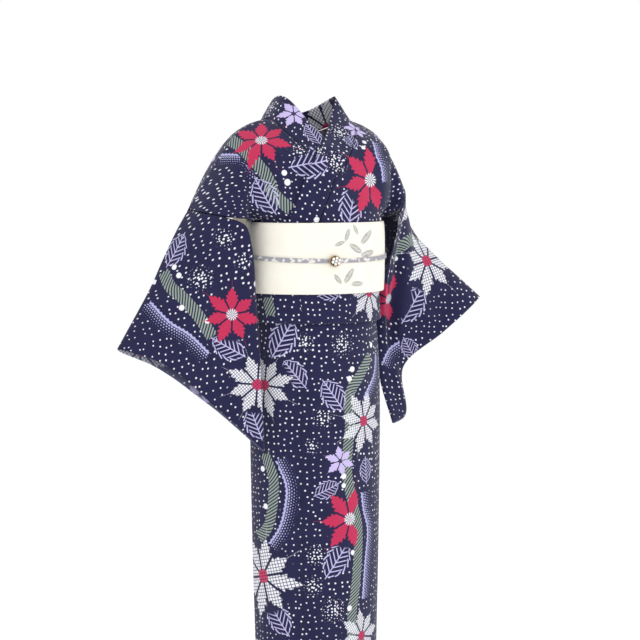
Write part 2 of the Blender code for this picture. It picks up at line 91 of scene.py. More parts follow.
def new_material(name, settings):
    """A material with some inputs of its shader set, its node tree and the shader."""
    material = bpy.data.materials.new(name)
    material.use_nodes = True
    shader = material.node_tree.nodes["Principled BSDF"]
    for label, value in settings.items():
        shader.inputs[label].default_value = value
    return material, material.node_tree, shader


def mesh_of(name, shape, material=None, smooth=False):
    """Mesh of a finished bmesh, which it frees."""
    mesh = bpy.data.meshes.new(name)
    shape.to_mesh(mesh)
    shape.free()
    if material:
        mesh.materials.append(material)
    if smooth:
        mesh.shade_smooth()
    return mesh


def put_in(mesh):
    """Item of a mesh, with the mesh's name, put into the scene."""
    item = bpy.data.objects.new(mesh.name, mesh)
    bpy.context.scene.collection.objects.link(item)
    return item


lens = bpy.data.cameras.new("camera")
lens.sensor_width = SENSOR
lens.lens = SENSOR * VIEW_DISTANCE / (VIEW_COLUMNS * VIEW_SCALE)
lens.clip_end = 50.0
camera = bpy.data.objects.new("camera", lens)
aimed(camera, eye, aim)
bpy.context.scene.camera = camera
bpy.context.scene.view_settings.view_transform = "Standard"

for name, place, wide, watts in LAMPS:
    light = bpy.data.lights.new(name, "AREA")
    light.size = wide
    light.energy = watts
    aimed(bpy.data.objects.new(name, light), place, LAMP_AIM)
world = bpy.data.worlds.new("white_studio")
world.use_nodes = True
world.node_tree.nodes["Background"].inputs["Color"].default_value = WHITE
world.node_tree.nodes["Background"].inputs["Strength"].default_value = 1.0
bpy.context.scene.world = world

paper = new_material("white_paper", {"Base Color": WHITE, "Roughness": 0.9})[0]
sheet = bmesh.new()
bmesh.ops.create_grid(sheet, x_segments=1, y_segments=1, size=FLOOR_SIZE)
for vert in sheet.verts:
    vert.co.z = FLOOR_HEIGHT
floor = put_in(mesh_of("floor", sheet, paper))


# The skirt: narrow loom-width strips of cotton sewn edge to edge, two for the back, one for each
# front, and a half-width overlap panel on each front. The left front lies over the right one.
# The cotton is a plain weave, dyed indigo with the pattern left white or tinted red and lilac.
CELL = 0.0065                    # size of the cloth's mesh
COTTON = 0.0008                  # thickness that shows at an edge
MERGED = 0.00001                 # points closer than this are one
SKIRT_ROWS = 152
CELL_MISS = 0.006                # how far off a motif may land, for the layer nearest the view
SHOWN = 0.05                     # least share of its facing that cloth turns to the view, to show
HIDDEN = 0.12                    # most share of it, for a motif drawn by lot
SAME_SIDE = 0.1                  # least share of a motif's facing that its cloth has
MOTIF_EDGE = 1.25                # how many reaches from its middle a motif's places are written
MOTIFS_APART = 0.92              # of the sum of two motifs' reaches
LOTS = {"skirt": (900, 7), "upper": (500, 3), "sleeve": (300, 5)}    # tries, and seed of the draws
PRINT_SHIFT = 3.0                # metres down the print to the skirt's own part of it
SEAM_GAP = 0.0004
TUBE_RADIUS = 0.13               # turns lengths round the body into degrees
LAYER = 0.0033                   # step of one cloth over another, made over so many degrees
LAYER_RUN = 38.0
HEM_LIFT = 0.014                 # of the overlap's corner, from so many degrees and this height
HEM_LIFT_FROM = 40.0
HEM_LIFT_START = -1.10
HEM = -1.290
HIDDEN_TOP = -0.300
OKUMI_SEAM = 33.0
FRONT_EDGE = 97.0
SKIRT_SIDE_SEAM = 61.0
SEAM_TRIM = math.degrees(0.5 * SEAM_GAP / TUBE_RADIUS)
SKIRT_FORM = (
    # height, half_width, half_depth, middle_y
    (-0.300, 0.1260, 0.0970, 0.000),
    (-0.371, 0.1280, 0.0990, 0.000),
    (-0.430, 0.1340, 0.1060, 0.001),
    (-0.520, 0.1400, 0.1150, 0.003),
    (-0.640, 0.1425, 0.1190, 0.004),
    (-0.900, 0.1390, 0.1180, 0.002),
    (-1.107, 0.1340, 0.1150, 0.000),
    (-1.290, 0.1310, 0.1130, 0.000),
)
SKIRT_FOLDS = (
    # side (front -1, back 1), from x, z, to x, z, depth, width
    (-1, -0.118, -0.430, -0.070, -0.700, 0.0016, 0.020),
    (-1, 0.112, -0.430, 0.062, -0.600, 0.0013, 0.018),
    (-1, 0.020, -0.425, 0.035, -0.560, 0.0007, 0.014),
    (-1, -0.030, -0.620, -0.060, -1.290, 0.0011, 0.026),
    (-1, 0.060, -0.760, 0.075, -1.290, 0.0014, 0.022),
    (-1, 0.010, -0.980, 0.000, -1.290, -0.0009, 0.020),
    (1, -0.080, -0.430, -0.030, -0.640, 0.0022, 0.020),
    (1, 0.075, -0.430, 0.040, -0.720, 0.0020, 0.022),
    (1, 0.000, -0.430, 0.006, -0.560, 0.0012, 0.014),
    (1, -0.050, -0.700, -0.064, -1.290, 0.0015, 0.024),
    (1, 0.060, -0.860, 0.052, -1.290, 0.0018, 0.026),
)
# The print as the view shows it: mm to the right of the view's middle and above it, mm from a
# motif's middle to its tip, and the turn of its first petal or of its tip, in degrees
SKIRT_MOTIFS = (
    # motif, across, up, reach, turn
    ("gridded_flower", 110, 61, 62, 20), ("gridded_flower", 100, -214, 66, 8),
    ("gridded_flower", 92, -668, 62, 30), ("gridded_flower", -128, -543, 88, 15),
    ("half_red_flower", 64, -420, 68, 0), ("lilac_flower", 47, -293, 34, 10),
    ("gridded_flower", -123, -138, 66, 40),
    ("leaf", -85, -36, 42, 60), ("leaf", -56, -108, 34, 130), ("leaf", 32, -159, 36, 125),
    ("leaf", 19, -354, 27, 25), ("leaf", 42, -511, 40, 55), ("leaf", -91, -638, 38, 125),
    ("leaf", 103, -318, 26, 95),
    ("spot", 112, -51, 7, 0), ("spot", 72, -100, 7, 0), ("spot", 66, -123, 7, 0),
    ("spot", 55, -329, 7, 0), ("spot", 55, -350, 6, 0), ("spot", 74, -488, 6, 0),
    ("spot", 66, -613, 7, 0), ("spot", -129, -316, 7, 0), ("spot", -121, -394, 7, 0),
    ("dot_cluster", 55, -53, 28, 0), ("dot_cluster", -36, -40, 22, 0),
    ("dot_cluster", 11, -208, 24, 20), ("dot_cluster", -12, -262, 18, 0),
    ("dot_cluster", -4, -505, 26, 10), ("dot_cluster", -11, -572, 24, 0), ("dot_cluster", 34, -619, 30, 0),
)
SKIRT_BANDS = (
    # kind, route as across and up
    ("hatched", ((110, -70), (89, -110), (70, -159), (64, -223), (64, -318), (72, -382), (87, -435),
                 (85, -509), (78, -572), (74, -625), (72, -720))),
    ("hatched", ((-123, -280), (-106, -329), (-102, -382), (-117, -435), (-134, -462))),
    ("edged", ((-97, -293), (-78, -339), (-74, -392), (-89, -445), (-112, -477))),
    ("edged", ((128, -70), (118, -110), (104, -150), (96, -165))),
    ("edged", ((89, -363), (97, -403), (104, -445), (97, -509), (93, -590))),
)
BACK_BANDS = ((128.0, 9.0), (196.0, -8.0))    # degrees from the front, and sway
HIDDEN_MOTIFS = (
    # motif, smallest reach, largest reach, share of the draws
    ("gridded_flower", 58, 84, 0.20), ("red_flower", 48, 66, 0.13), ("half_red_flower", 56, 66, 0.08),
    ("lilac_flower", 28, 36, 0.13), ("leaf", 30, 44, 0.26), ("spot", 6, 8, 0.10),
    ("dot_cluster", 20, 30, 0.10),
)


def ease(value):
    """Smooth step from 0 to 1."""
    value = np.clip(value, 0.0, 1.0)
    return value * value * (3.0 - 2.0 * value)


def run_along(line):
    """Metres along a line of points, up to each of them."""
    return np.concatenate([[0.0], np.cumsum(np.linalg.norm(np.diff(line, axis=0), axis=1))])


def curve_through(points, count):
    """Evenly spaced points on a smooth curve through the given ones."""
    points = np.array(points, float)
    ends = np.vstack([2 * points[0] - points[1], points, 2 * points[-1] - points[-2]])
    dense = []
    for i in range(len(points) - 1):
        a, b, c, d = ends[i:i + 4]
        for t in np.linspace(0.0, 1.0, 24, endpoint=False):
            dense.append(0.5 * (2 * b + (c - a) * t + (2 * a - 5 * b + 4 * c - d) * t ** 2
                                + (3 * b - a - 3 * c + d) * t ** 3))
    dense = np.array(dense + [points[-1]])
    length = run_along(dense)
    steps = np.linspace(0.0, length[-1], count)
    return np.stack([np.interp(steps, length, dense[:, k]) for k in range(dense.shape[1])], axis=1)


def form_at(form, height):
    """Half width, half depth and middle of a worn tube at heights."""
    dense = curve_through(sorted(form), 60)
    return [np.interp(height, dense[:, 0], dense[:, k]) for k in (1, 2, 3)]


def on_form(form, degrees, height, out=0.0):
    """Points on a worn tube, at angles from the front middle and at heights, moved out."""
    degrees, height, out = np.broadcast_arrays(degrees, height, out)
    half_width, half_depth, middle = form_at(form, height)
    angle = np.radians(degrees)
    normal = np.stack([np.sin(angle) / half_width, -np.cos(angle) / half_depth], axis=-1)
    normal /= np.linalg.norm(normal, axis=-1, keepdims=True)
    return np.stack([half_width * np.sin(angle) + out * normal[..., 0],
                     middle - half_depth * np.cos(angle) + out * normal[..., 1], height], axis=-1)


def facing_of(grid, inside):
    """Outward directions of a grid of points, away from a line inside it."""
    facing = np.cross(np.gradient(grid, axis=0), np.gradient(grid, axis=1))
    facing /= np.linalg.norm(facing, axis=-1, keepdims=True) + 1e-12
    return facing if np.sum(facing * (grid - inside)) > 0 else -facing


def folded(grid, facing, folds):
    """Grid with soft troughs pressed in along lines of the front or back view."""
    moved = grid.copy()
    for side, from_x, from_z, to_x, to_z, depth, width in folds:
        start, line = np.array([from_x, from_z]), np.array([to_x - from_x, to_z - from_z])
        flat = grid[..., [0, 2]] - start
        share = np.clip(flat @ line / (line @ line), 0.0, 1.0)
        away = np.linalg.norm(flat - share[..., None] * line, axis=-1)
        strength = depth * np.exp(-(away / width) ** 2) * np.sin(math.pi * (0.1 + 0.8 * share)) ** 0.8
        moved -= facing * (strength * ease(side * facing[..., 1] * 2.5))[..., None]
    return moved


def gathered(pieces):
    """All points of some pieces of cloth, and all their outward directions."""
    return [np.vstack([part.reshape(-1, 3) for part in parts]) for parts in zip(*pieces)]


def laid_motifs(pieces, layout):
    """Middle, frame and reach on the cloth of each motif that the view shows."""
    points, facing = gathered(pieces)
    shown = facing @ toward_view > SHOWN
    points, facing = points[shown], facing[shown]
    seen = seen_at(points)
    motifs = []
    for motif, across, up, reach, degrees in layout:
        miss = np.linalg.norm(seen - np.array([across, up]) / 1000.0, axis=1)
        near = np.flatnonzero(miss < miss.min() + CELL_MISS)
        spot = near[np.argmax(points[near] @ toward_view)]
        motifs.append(motif_frame(motif, points[spot], facing[spot], reach / 1000.0, degrees))
    return motifs


def motif_frame(motif, middle, facing, reach, degrees):
    """A motif's name, its middle, the directions of its own frame, and its reach."""
    up = np.array([0.0, 0.0, 1.0]) - facing * facing[2]
    up /= np.linalg.norm(up) + 1e-9
    right = np.cross(up, facing)
    c, s = math.cos(math.radians(degrees)), math.sin(math.radians(degrees))
    return motif, middle, right * c + up * s, up * c - right * s, facing, reach


def hidden_motifs(pieces, motifs, tries, seed):
    """Motifs drawn by lot over the cloth that the view doesn't show, clear of each other."""
    chance = np.random.default_rng(seed)
    points, facing = gathered(pieces)
    odds = np.array([row[3] for row in HIDDEN_MOTIFS])
    odds /= odds.sum()
    found = list(motifs)
    for _ in range(tries):
        motif, smallest, largest, _ = HIDDEN_MOTIFS[chance.choice(len(HIDDEN_MOTIFS), p=odds)]
        spot, reach = chance.integers(len(points)), chance.uniform(smallest, largest) / 1000.0
        degrees = chance.uniform(0.0, 360.0)
        if facing[spot] @ toward_view > HIDDEN:
            continue
        if all(np.linalg.norm(points[spot] - other[1]) > MOTIFS_APART * (reach + other[5])
               for other in found):
            found.append(motif_frame(motif, points[spot], facing[spot], reach, degrees))
    return found


def laid_bands(pieces, layout):
    """Route on the cloth of each band that the view shows, with the outward directions along it."""
    bands = []
    for kind, route in layout:
        frames = laid_motifs(pieces, [(kind, across, up, 10, 0) for across, up in route])
        line = curve_through([np.concatenate([m[1], m[4]]) for m in frames], 90)
        bands.append((kind, line[:, :3], line[:, 3:]))
    return bands


# Colours of the dyes, and the print's measures in metres or in dots a metre
INDIGO, WORN_INDIGO = (0.0080, 0.0078, 0.040), (0.0170, 0.0160, 0.066)
WASHED_BLUE = (0.16, 0.17, 0.27)
RESIST_WHITE, HATCH_GREEN = (0.80, 0.80, 0.86), (0.27, 0.33, 0.28)
LILAC, PALE_LILAC = (0.40, 0.36, 0.66), (0.66, 0.55, 0.82)
EDGE_LILAC, LEAF_LILAC = (0.42, 0.42, 0.70), (0.50, 0.47, 0.74)
RED, DEEP_RED = (0.60, 0.034, 0.110), (0.38, 0.014, 0.062)
COTTON_THREADS = 1100.0
DOTS_A_METRE = 72.0
CLUSTER_DOTS_A_METRE = 150.0
HATCHED_HALF_WIDTH = 0.0125
STROKE_STEP = 0.0078
SCALLOP_DEPTH = 0.0026
RIM_HALF_WIDTH = 0.0022
FIELD_ROW = 0.0052
FIELD_STEP = 0.0058
GRID_DOTS = 13.0                 # of a gridded flower, in its reach
PETAL_GAP = 0.034
STEPS_ABOVE_ZERO = 16.0          # keeps a petal's number positive
FLOWERS = ("red_flower", "half_red_flower", "gridded_flower", "lilac_flower")
SMALL_FIGURES = ("leaf", "spot", "dot_cluster")
BAND_KINDS = ("hatched", "edged")
BAND_REACH = {"hatched": 0.018, "edged": 0.045}
UNPRINTED = (9.0, 9.0, -1.0)     # far from every motif, and of no kind


def corner_places(corners, facing, motifs, kinds):
    """For each corner of each face, its place in the nearest motif of these kinds, and the kind."""
    places = np.broadcast_to(UNPRINTED, corners.shape).copy()
    middle = corners.mean(axis=1)
    nearest = np.full(len(corners), MOTIF_EDGE)
    for motif, centre, right, up, outward, reach in motifs:
        if motif not in kinds:
            continue
        away = np.linalg.norm(middle - centre, axis=1) / reach
        taken = (away < nearest) & (facing @ outward > SAME_SIDE)
        nearest[taken] = away[taken]
        offset = corners[taken] - centre
        places[taken] = np.stack([offset @ right / reach, offset @ up / reach,
                                  np.full(offset.shape[:2], float(kinds.index(motif)))], axis=-1)
    return places


def band_places(corners, facing, bands):
    """For each corner of each face, metres along the nearest band and beside it, and its kind."""
    places = np.broadcast_to(UNPRINTED, corners.shape).copy()
    middle = corners.mean(axis=1)
    nearest = np.full(len(corners), 2.0)
    for kind, route, outward in bands:
        length = run_along(route)
        along = np.gradient(route, axis=0)
        along /= np.linalg.norm(along, axis=1, keepdims=True)
        gap = np.linalg.norm(middle[:, None] - route[None], axis=2)
        away = gap.min(axis=1) / BAND_REACH[kind] + (1.0 if kind == "edged" else 0.0)
        step = gap.argmin(axis=1)
        ends = (step > 0) & (step < len(route) - 1)
        taken = (away < nearest) & (gap.min(axis=1) < BAND_REACH[kind]) & ends
        taken &= np.sum(facing * outward[step], axis=1) > SAME_SIDE
        nearest[taken] = away[taken]
        spot = step[taken]
        offset = corners[taken] - route[spot][:, None]
        aside = np.cross(outward[spot], along[spot])
        places[taken] = np.stack([
            length[spot][:, None] + np.einsum("fck,fk->fc", offset, along[spot]),
            np.einsum("fck,fk->fc", offset, aside),
            np.full(offset.shape[:2], float(BAND_KINDS.index(kind)))], axis=-1)
    return places


def flat_places(grid):
    """Metres across and down the cloth for each point, as if it lay flat."""
    across = [run_along(row) for row in grid]
    down = np.transpose([run_along(column) for column in grid.swapaxes(0, 1)])
    return np.stack([across, down], axis=-1)


def hung_down(grid, fold):
    """Metres down the cloth for each point, for cloth that hangs from its fold row."""
    step = np.diff(grid, axis=0)
    fall = np.pad(np.hypot(step[..., 1], step[..., 2]), ((1, 0), (0, 0)))
    down = np.cumsum(fall, axis=0)
    return np.abs(down - down[fold]) - grid[fold, :, 2]


def quads_between(rows, columns):
    """Point numbers of the four-sided faces of a grid."""
    number = np.arange(rows * columns).reshape(rows, columns)
    quads = [number[:-1, :-1], number[1:, :-1], number[1:, 1:], number[:-1, 1:]]
    return np.stack(quads, axis=-1).reshape(-1, 4)


def kept_as_shaped(item):
    """Item's modifiers made into its mesh."""
    whole = bpy.data.meshes.new_from_object(item.evaluated_get(bpy.context.evaluated_depsgraph_get()))
    item.modifiers.clear()
    item.data = whole
    whole.name = item.name
    return whole


def cloth_piece(name, grid, facing, materials, thickness, motifs=(), bands=(), flat=None):
    """Thin two-sided shell over a grid, with its flat lie and the print's places written on it."""
    rows, columns = grid.shape[:2]
    quads = quads_between(rows, columns)
    points = grid.reshape(-1, 3)
    outward = facing.reshape(-1, 3)[quads].mean(axis=1)
    corner = points[quads]
    if np.sum(np.cross(corner[:, 2] - corner[:, 0], corner[:, 3] - corner[:, 1]) * outward) < 0:
        quads = quads[:, ::-1]
        corner = points[quads]
    mesh = bpy.data.meshes.new(name)
    mesh.from_pydata(points.tolist(), [], quads.tolist())
    flat = (flat_places(grid) if flat is None else flat).reshape(-1, 2)[quads].reshape(-1, 2)
    mesh.uv_layers.new(name="flat").data.foreach_set("uv", flat.ravel())
    for label, places in (("flower", corner_places(corner, outward, motifs, FLOWERS)),
                          ("figure", corner_places(corner, outward, motifs, SMALL_FIGURES)),
                          ("band", band_places(corner, outward, bands))):
        layer = mesh.attributes.new(label, "FLOAT_VECTOR", "CORNER")
        layer.data.foreach_set("vector", places.ravel())
    mesh.shade_smooth()
    for material in materials:
        mesh.materials.append(material)
    item = put_in(mesh)
    shape = bmesh.new()
    shape.from_mesh(mesh)
    bmesh.ops.remove_doubles(shape, verts=shape.verts, dist=MERGED)
    shape.to_mesh(mesh)
    shape.free()
    wall = item.modifiers.new("wall", "SOLIDIFY")
    wall.thickness = thickness
    wall.offset = 0.0
    wall.material_offset = len(materials) - 1
    kept_as_shaped(item)
    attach(item, "root")
    return item


def formula(tree):
    """A short way to write one maths node after another in a node tree."""
    def do(operation, *values, clamp=False):
        node = tree.nodes.new("ShaderNodeMath")
        node.operation = operation
        node.use_clamp = clamp
        for socket, value in zip(node.inputs, values):
            if isinstance(value, (int, float)):
                socket.default_value = value
            else:
                tree.links.new(value, socket)
        return node.outputs[0]
    return do


def within(do, value, edge, soft):
    """1 where a value is below an edge, 0 above it, with a soft step between."""
    return do("MULTIPLY_ADD", do("SUBTRACT", edge, value), 0.5 / soft, 0.5, clamp=True)


def far_from_middle(do, x, y):
    return do("SQRT", do("ADD", do("MULTIPLY", x, x), do("MULTIPLY", y, y)))


def off_half(do, value):
    """How far the fraction of a value lies from a half."""
    return do("ABSOLUTE", do("SUBTRACT", do("FRACT", value), 0.5))


def bowed(do, x, power):
    """Height of a bow with its two tips at -1 and 1."""
    return do("POWER", do("MAXIMUM", do("SUBTRACT", 1.0, do("MULTIPLY", x, x)), 0.0), power)


def is_kind(do, value, kinds, kind):
    return do("COMPARE", value, float(kinds.index(kind)), 0.25)


def mixed(tree, share, first, second):
    """Colour between two, by a share."""
    node = tree.nodes.new("ShaderNodeMix")
    node.data_type = "RGBA"
    sockets = node.inputs["Factor"], node.inputs[6], node.inputs[7]
    for socket, value in zip(sockets, (share, first, second)):
        if hasattr(value, "links"):
            tree.links.new(value, socket)
        else:
            socket.default_value = (*value, 1.0) if isinstance(value, tuple) else value
    return node.outputs[2]


def parts_of(tree, vector):
    parts = tree.nodes.new("ShaderNodeSeparateXYZ")
    tree.links.new(vector, parts.inputs[0])
    return parts.outputs


def attribute_parts(tree, name):
    node = tree.nodes.new("ShaderNodeAttribute")
    node.attribute_name = name
    return parts_of(tree, node.outputs["Vector"])


def flat_lie(tree):
    """The place on the cloth as it lay flat, in metres."""
    node = tree.nodes.new("ShaderNodeUVMap")
    node.uv_map = "flat"
    return node.outputs["UV"]


def noise(tree, place, scale, detail=2.0):
    node = tree.nodes.new("ShaderNodeTexNoise")
    node.inputs["Scale"].default_value = scale
    node.inputs["Detail"].default_value = detail
    tree.links.new(place, node.inputs["Vector"])
    return node.outputs["Fac"]


def dot_distance(tree, place, scale, randomness):
    """Distance from the middles of strewn dots, in shares of their spacing."""
    node = tree.nodes.new("ShaderNodeTexVoronoi")
    node.voronoi_dimensions = "2D"
    node.inputs["Scale"].default_value = scale
    node.inputs["Randomness"].default_value = randomness
    tree.links.new(place, node.inputs["Vector"])
    return node.outputs["Distance"]


def new_group(name, kind, inputs, outputs):
    """Node tree of a group, its input node's sockets, and a call that joins up its outputs."""
    tree = bpy.data.node_groups.new(name, kind)
    for in_out, sockets in (("INPUT", inputs), ("OUTPUT", outputs)):
        for label, socket in sockets:
            tree.interface.new_socket(label, in_out=in_out, socket_type=f"NodeSocket{socket}")
    asked = tree.nodes.new("NodeGroupInput").outputs if inputs else ()

    def put_out(**values):
        out = tree.nodes.new("NodeGroupOutput")
        for label, value in values.items():
            tree.links.new(value, out.inputs[label])
        return tree
    return tree, asked, put_out


def petals(do, across, up, count, width, teeth):
    """Mask of uneven, toothed petals, mask of the left half, and the distance from the middle."""
    step = 2.0 * math.pi / count
    far = far_from_middle(do, across, up)
    steps = do("ADD", do("DIVIDE", do("ARCTAN2", up, across), step), STEPS_ABOVE_ZERO)
    number = do("FLOOR", steps)
    own = do("MULTIPLY", do("SUBTRACT", do("SUBTRACT", steps, number), 0.5), step)
    length = do("MULTIPLY_ADD", do("FRACT", do("MULTIPLY", number, 0.618)), -0.22, 1.04)
    straight = do("MULTIPLY", far, do("COSINE", own))
    along = do("DIVIDE", straight, length)
    aside = do("ABSOLUTE", do("MULTIPLY", far, do("SINE", own)))
    root = do("POWER", do("MAXIMUM", do("SUBTRACT", along, 0.14), 0.0), 0.70)
    tip = do("MAXIMUM", do("SUBTRACT", 1.0, along), 0.0)
    tooth = do("MULTIPLY", do("FRACT", do("MULTIPLY", along, teeth)), 0.46)
    edge = do("MULTIPLY", do("MULTIPLY", root, tip), do("ADD", tooth, width))
    edge = do("MINIMUM", edge, do("MULTIPLY_ADD", straight, math.tan(0.5 * step), -PETAL_GAP))
    turned = do("COSINE", do("MULTIPLY", do("ADD", number, 0.5 - STEPS_ABOVE_ZERO), step))
    return within(do, aside, edge, 0.012), do("LESS_THAN", turned, 0.5), far


def print_group():
    """Node group of the dyed print: ground, dots, bands, leaves and flowers over each other."""
    tree, _, put_out = new_group("yukata_print", "ShaderNodeTree", (),
                                 (("Colour", "Color"), ("Undyed", "Float")))
    do = formula(tree)
    place = flat_lie(tree)
    ground = mixed(tree, noise(tree, place, 26.0, 4.0), INDIGO, WORN_INDIGO)

    # White resist dots, strewn at about a finger's width, thinning out in places
    size = do("MULTIPLY_ADD", noise(tree, place, 9.0), 0.20, 0.020)
    dots = within(do, dot_distance(tree, place, DOTS_A_METRE, 0.55), size, 0.035)
    flower_x, flower_y, flower_kind = attribute_parts(tree, "flower")
    figure_x, figure_y, figure_kind = attribute_parts(tree, "figure")
    band_s, band_d, band_kind = attribute_parts(tree, "band")

    # Bands: slanted strokes in a strip, or a scalloped edge with a fading field of fine dots
    strip = do("MULTIPLY", is_kind(do, band_kind, BAND_KINDS, "hatched"),
               within(do, do("ABSOLUTE", band_d), HATCHED_HALF_WIDTH, 0.0006))
    slant = off_half(do, do("DIVIDE", do("MULTIPLY_ADD", band_d, 0.9, band_s), STROKE_STEP))
    stroke = do("MULTIPLY", strip, within(do, slant, 0.27, 0.06))
    edged = is_kind(do, band_kind, BAND_KINDS, "edged")
    scallop = do("MULTIPLY", do("ABSOLUTE", do("SINE", do("MULTIPLY", band_s, 330.0))), SCALLOP_DEPTH)
    rim = do("ABSOLUTE", do("SUBTRACT", band_d, scallop))
    line = do("MULTIPLY", edged, within(do, rim, RIM_HALF_WIDTH, 0.0006))
    row = do("FLOOR", do("DIVIDE", band_d, FIELD_ROW))
    spread = far_from_middle(
        do, off_half(do, do("MULTIPLY_ADD", row, 0.5, do("DIVIDE", band_s, FIELD_STEP))),
        off_half(do, do("DIVIDE", band_d, FIELD_ROW)))
    fade = do("MULTIPLY_ADD", band_d, -15.0, 0.46)
    field = do("MULTIPLY", edged, do("GREATER_THAN", band_d, 0.0))
    field = do("MULTIPLY", field, within(do, spread, fade, 0.06))

    # Leaves drawn in outline with their veins, round spots, and close clusters of dots
    is_leaf = is_kind(do, figure_kind, SMALL_FIGURES, "leaf")
    beside, along = do("ABSOLUTE", figure_y), do("ABSOLUTE", figure_x)
    serration = do("MULTIPLY", do("FRACT", do("MULTIPLY", figure_x, -2.6)), 0.17)
    leaf_edge = do("MULTIPLY", bowed(do, figure_x, 0.75), do("ADD", serration, 0.56))
    outline = within(do, do("ABSOLUTE", do("SUBTRACT", beside, leaf_edge)), 0.038, 0.014)
    outline = do("MULTIPLY", outline, within(do, along, 1.02, 0.02))
    vein = do("MULTIPLY", within(do, beside, 0.028, 0.012), within(do, along, 1.15, 0.02))
    ribs = off_half(do, do("MULTIPLY", do("MULTIPLY_ADD", beside, -0.9, figure_x), 3.4))
    ribs = do("MULTIPLY", within(do, ribs, 0.13, 0.05),
              within(do, beside, do("SUBTRACT", leaf_edge, 0.10), 0.02))
    leaf = do("MULTIPLY", is_leaf, do("MAXIMUM", outline, do("MAXIMUM", vein, ribs)))
    figure_far = far_from_middle(do, figure_x, figure_y)
    spot = do("MULTIPLY", is_kind(do, figure_kind, SMALL_FIGURES, "spot"),
              within(do, figure_far, 0.85, 0.10))
    cluster = do("MULTIPLY", is_kind(do, figure_kind, SMALL_FIGURES, "dot_cluster"),
                 within(do, dot_distance(tree, place, CLUSTER_DOTS_A_METRE, 0.6),
                        do("MULTIPLY_ADD", figure_far, -0.34, 0.36), 0.05))

    # Flowers: solid red with a white heart, a white grid of resist dots with a red heart, or lilac
    whole, half, is_gridded, is_lilac = (is_kind(do, flower_kind, FLOWERS, kind) for kind in FLOWERS)
    red_petal, left, far = petals(do, flower_x, flower_y, 7.0, 0.62, 7.0)
    red_petal = do("MULTIPLY", red_petal, do("ADD", whole, do("MULTIPLY", half, left)))
    grid_petal = petals(do, flower_x, flower_y, 8.0, 0.56, 6.0)[0]
    grid_x = off_half(do, do("MULTIPLY", flower_x, GRID_DOTS))
    grid_y = off_half(do, do("MULTIPLY", flower_y, GRID_DOTS))
    resist = within(do, do("MAXIMUM", grid_x, grid_y), 0.40, 0.06)
    gridded = do("MULTIPLY", is_gridded, do("MULTIPLY", grid_petal, resist))
    red_heart = do("MULTIPLY", is_gridded, do("MULTIPLY", within(do, far, 0.17, 0.02), resist))
    lilac_petal = do("MULTIPLY", is_lilac, petals(do, flower_x, flower_y, 6.0, 0.70, 5.0)[0])
    rays = do("FRACT", do("MULTIPLY", do("ARCTAN2", flower_y, flower_x), 2.2))
    heart = do("MULTIPLY", within(do, far, 0.19, 0.03), do("GREATER_THAN", rays, 0.42))
    white_heart = do("MULTIPLY", do("ADD", whole, half), heart)
    bare = do("MULTIPLY", do("GREATER_THAN", flower_kind, -0.5), within(do, far, 0.92, 0.05))

    in_leaf = do("MULTIPLY", is_leaf, within(do, beside, leaf_edge, 0.05))
    near_edge = do("LESS_THAN", do("ABSOLUTE", do("SUBTRACT", band_d, 0.010)), 0.018)
    plain = do("SUBTRACT", 1.0, do("MAXIMUM", bare, in_leaf))
    plain = do("MULTIPLY", plain,
               do("SUBTRACT", 1.0, do("MAXIMUM", strip, do("MULTIPLY", edged, near_edge))))
    dots = do("MULTIPLY", dots, plain)
    streaks = noise(tree, place, 420.0, 1.0)
    colour = mixed(tree, dots, ground, RESIST_WHITE)
    colour = mixed(tree, stroke, colour, HATCH_GREEN)
    colour = mixed(tree, do("MAXIMUM", line, field), colour, EDGE_LILAC)
    colour = mixed(tree, do("MULTIPLY", leaf, do("SUBTRACT", 1.0, bare)), colour, LEAF_LILAC)
    colour = mixed(tree, do("MAXIMUM", spot, cluster), colour, RESIST_WHITE)
    colour = mixed(tree, red_petal, colour, mixed(tree, streaks, DEEP_RED, RED))
    colour = mixed(tree, lilac_petal, colour, mixed(tree, streaks, LILAC, PALE_LILAC))
    colour = mixed(tree, do("MAXIMUM", gridded, white_heart), colour, RESIST_WHITE)
    colour = mixed(tree, red_heart, colour, RED)
    undyed = do("MAXIMUM", do("MAXIMUM", dots, gridded), do("MAXIMUM", spot, leaf))
    return put_out(Colour=colour, Undyed=undyed)


def weave_group():
    """Node group of a plain weave: the height of threads that pass over and under each other."""
    tree, asked, put_out = new_group("plain_weave", "ShaderNodeTree", (("Threads", "Float"),),
                                     (("Height", "Float"),))
    do = formula(tree)
    lie = flat_lie(tree)
    warp, weft = (do("SINE", do("MULTIPLY", do("MULTIPLY", value, asked["Threads"]), math.pi))
                  for value in parts_of(tree, lie)[:2])
    slub = noise(tree, lie, 240.0, 3.0)
    height = do("MULTIPLY_ADD", do("MULTIPLY", warp, weft), 0.5, do("MULTIPLY_ADD", slub, 0.9, 0.05))
    return put_out(Height=height)


def cloth_material(name, threads, bump, roughness, sheen):
    """A woven cloth's shader without its colour, with the weave as a bump."""
    material, tree, shader = new_material(name, {
        "Roughness": roughness, "Sheen Weight": sheen, "Sheen Roughness": 0.5,
        "Specular IOR Level": 0.25})
    weave = tree.nodes.new("ShaderNodeGroup")
    weave.node_tree = plain_weave
    weave.inputs["Threads"].default_value = threads
    relief = tree.nodes.new("ShaderNodeBump")
    relief.inputs["Strength"].default_value = bump
    relief.inputs["Distance"].default_value = 0.0004
    tree.links.new(weave.outputs["Height"], relief.inputs["Height"])
    tree.links.new(relief.outputs["Normal"], shader.inputs["Normal"])
    return material, tree, shader


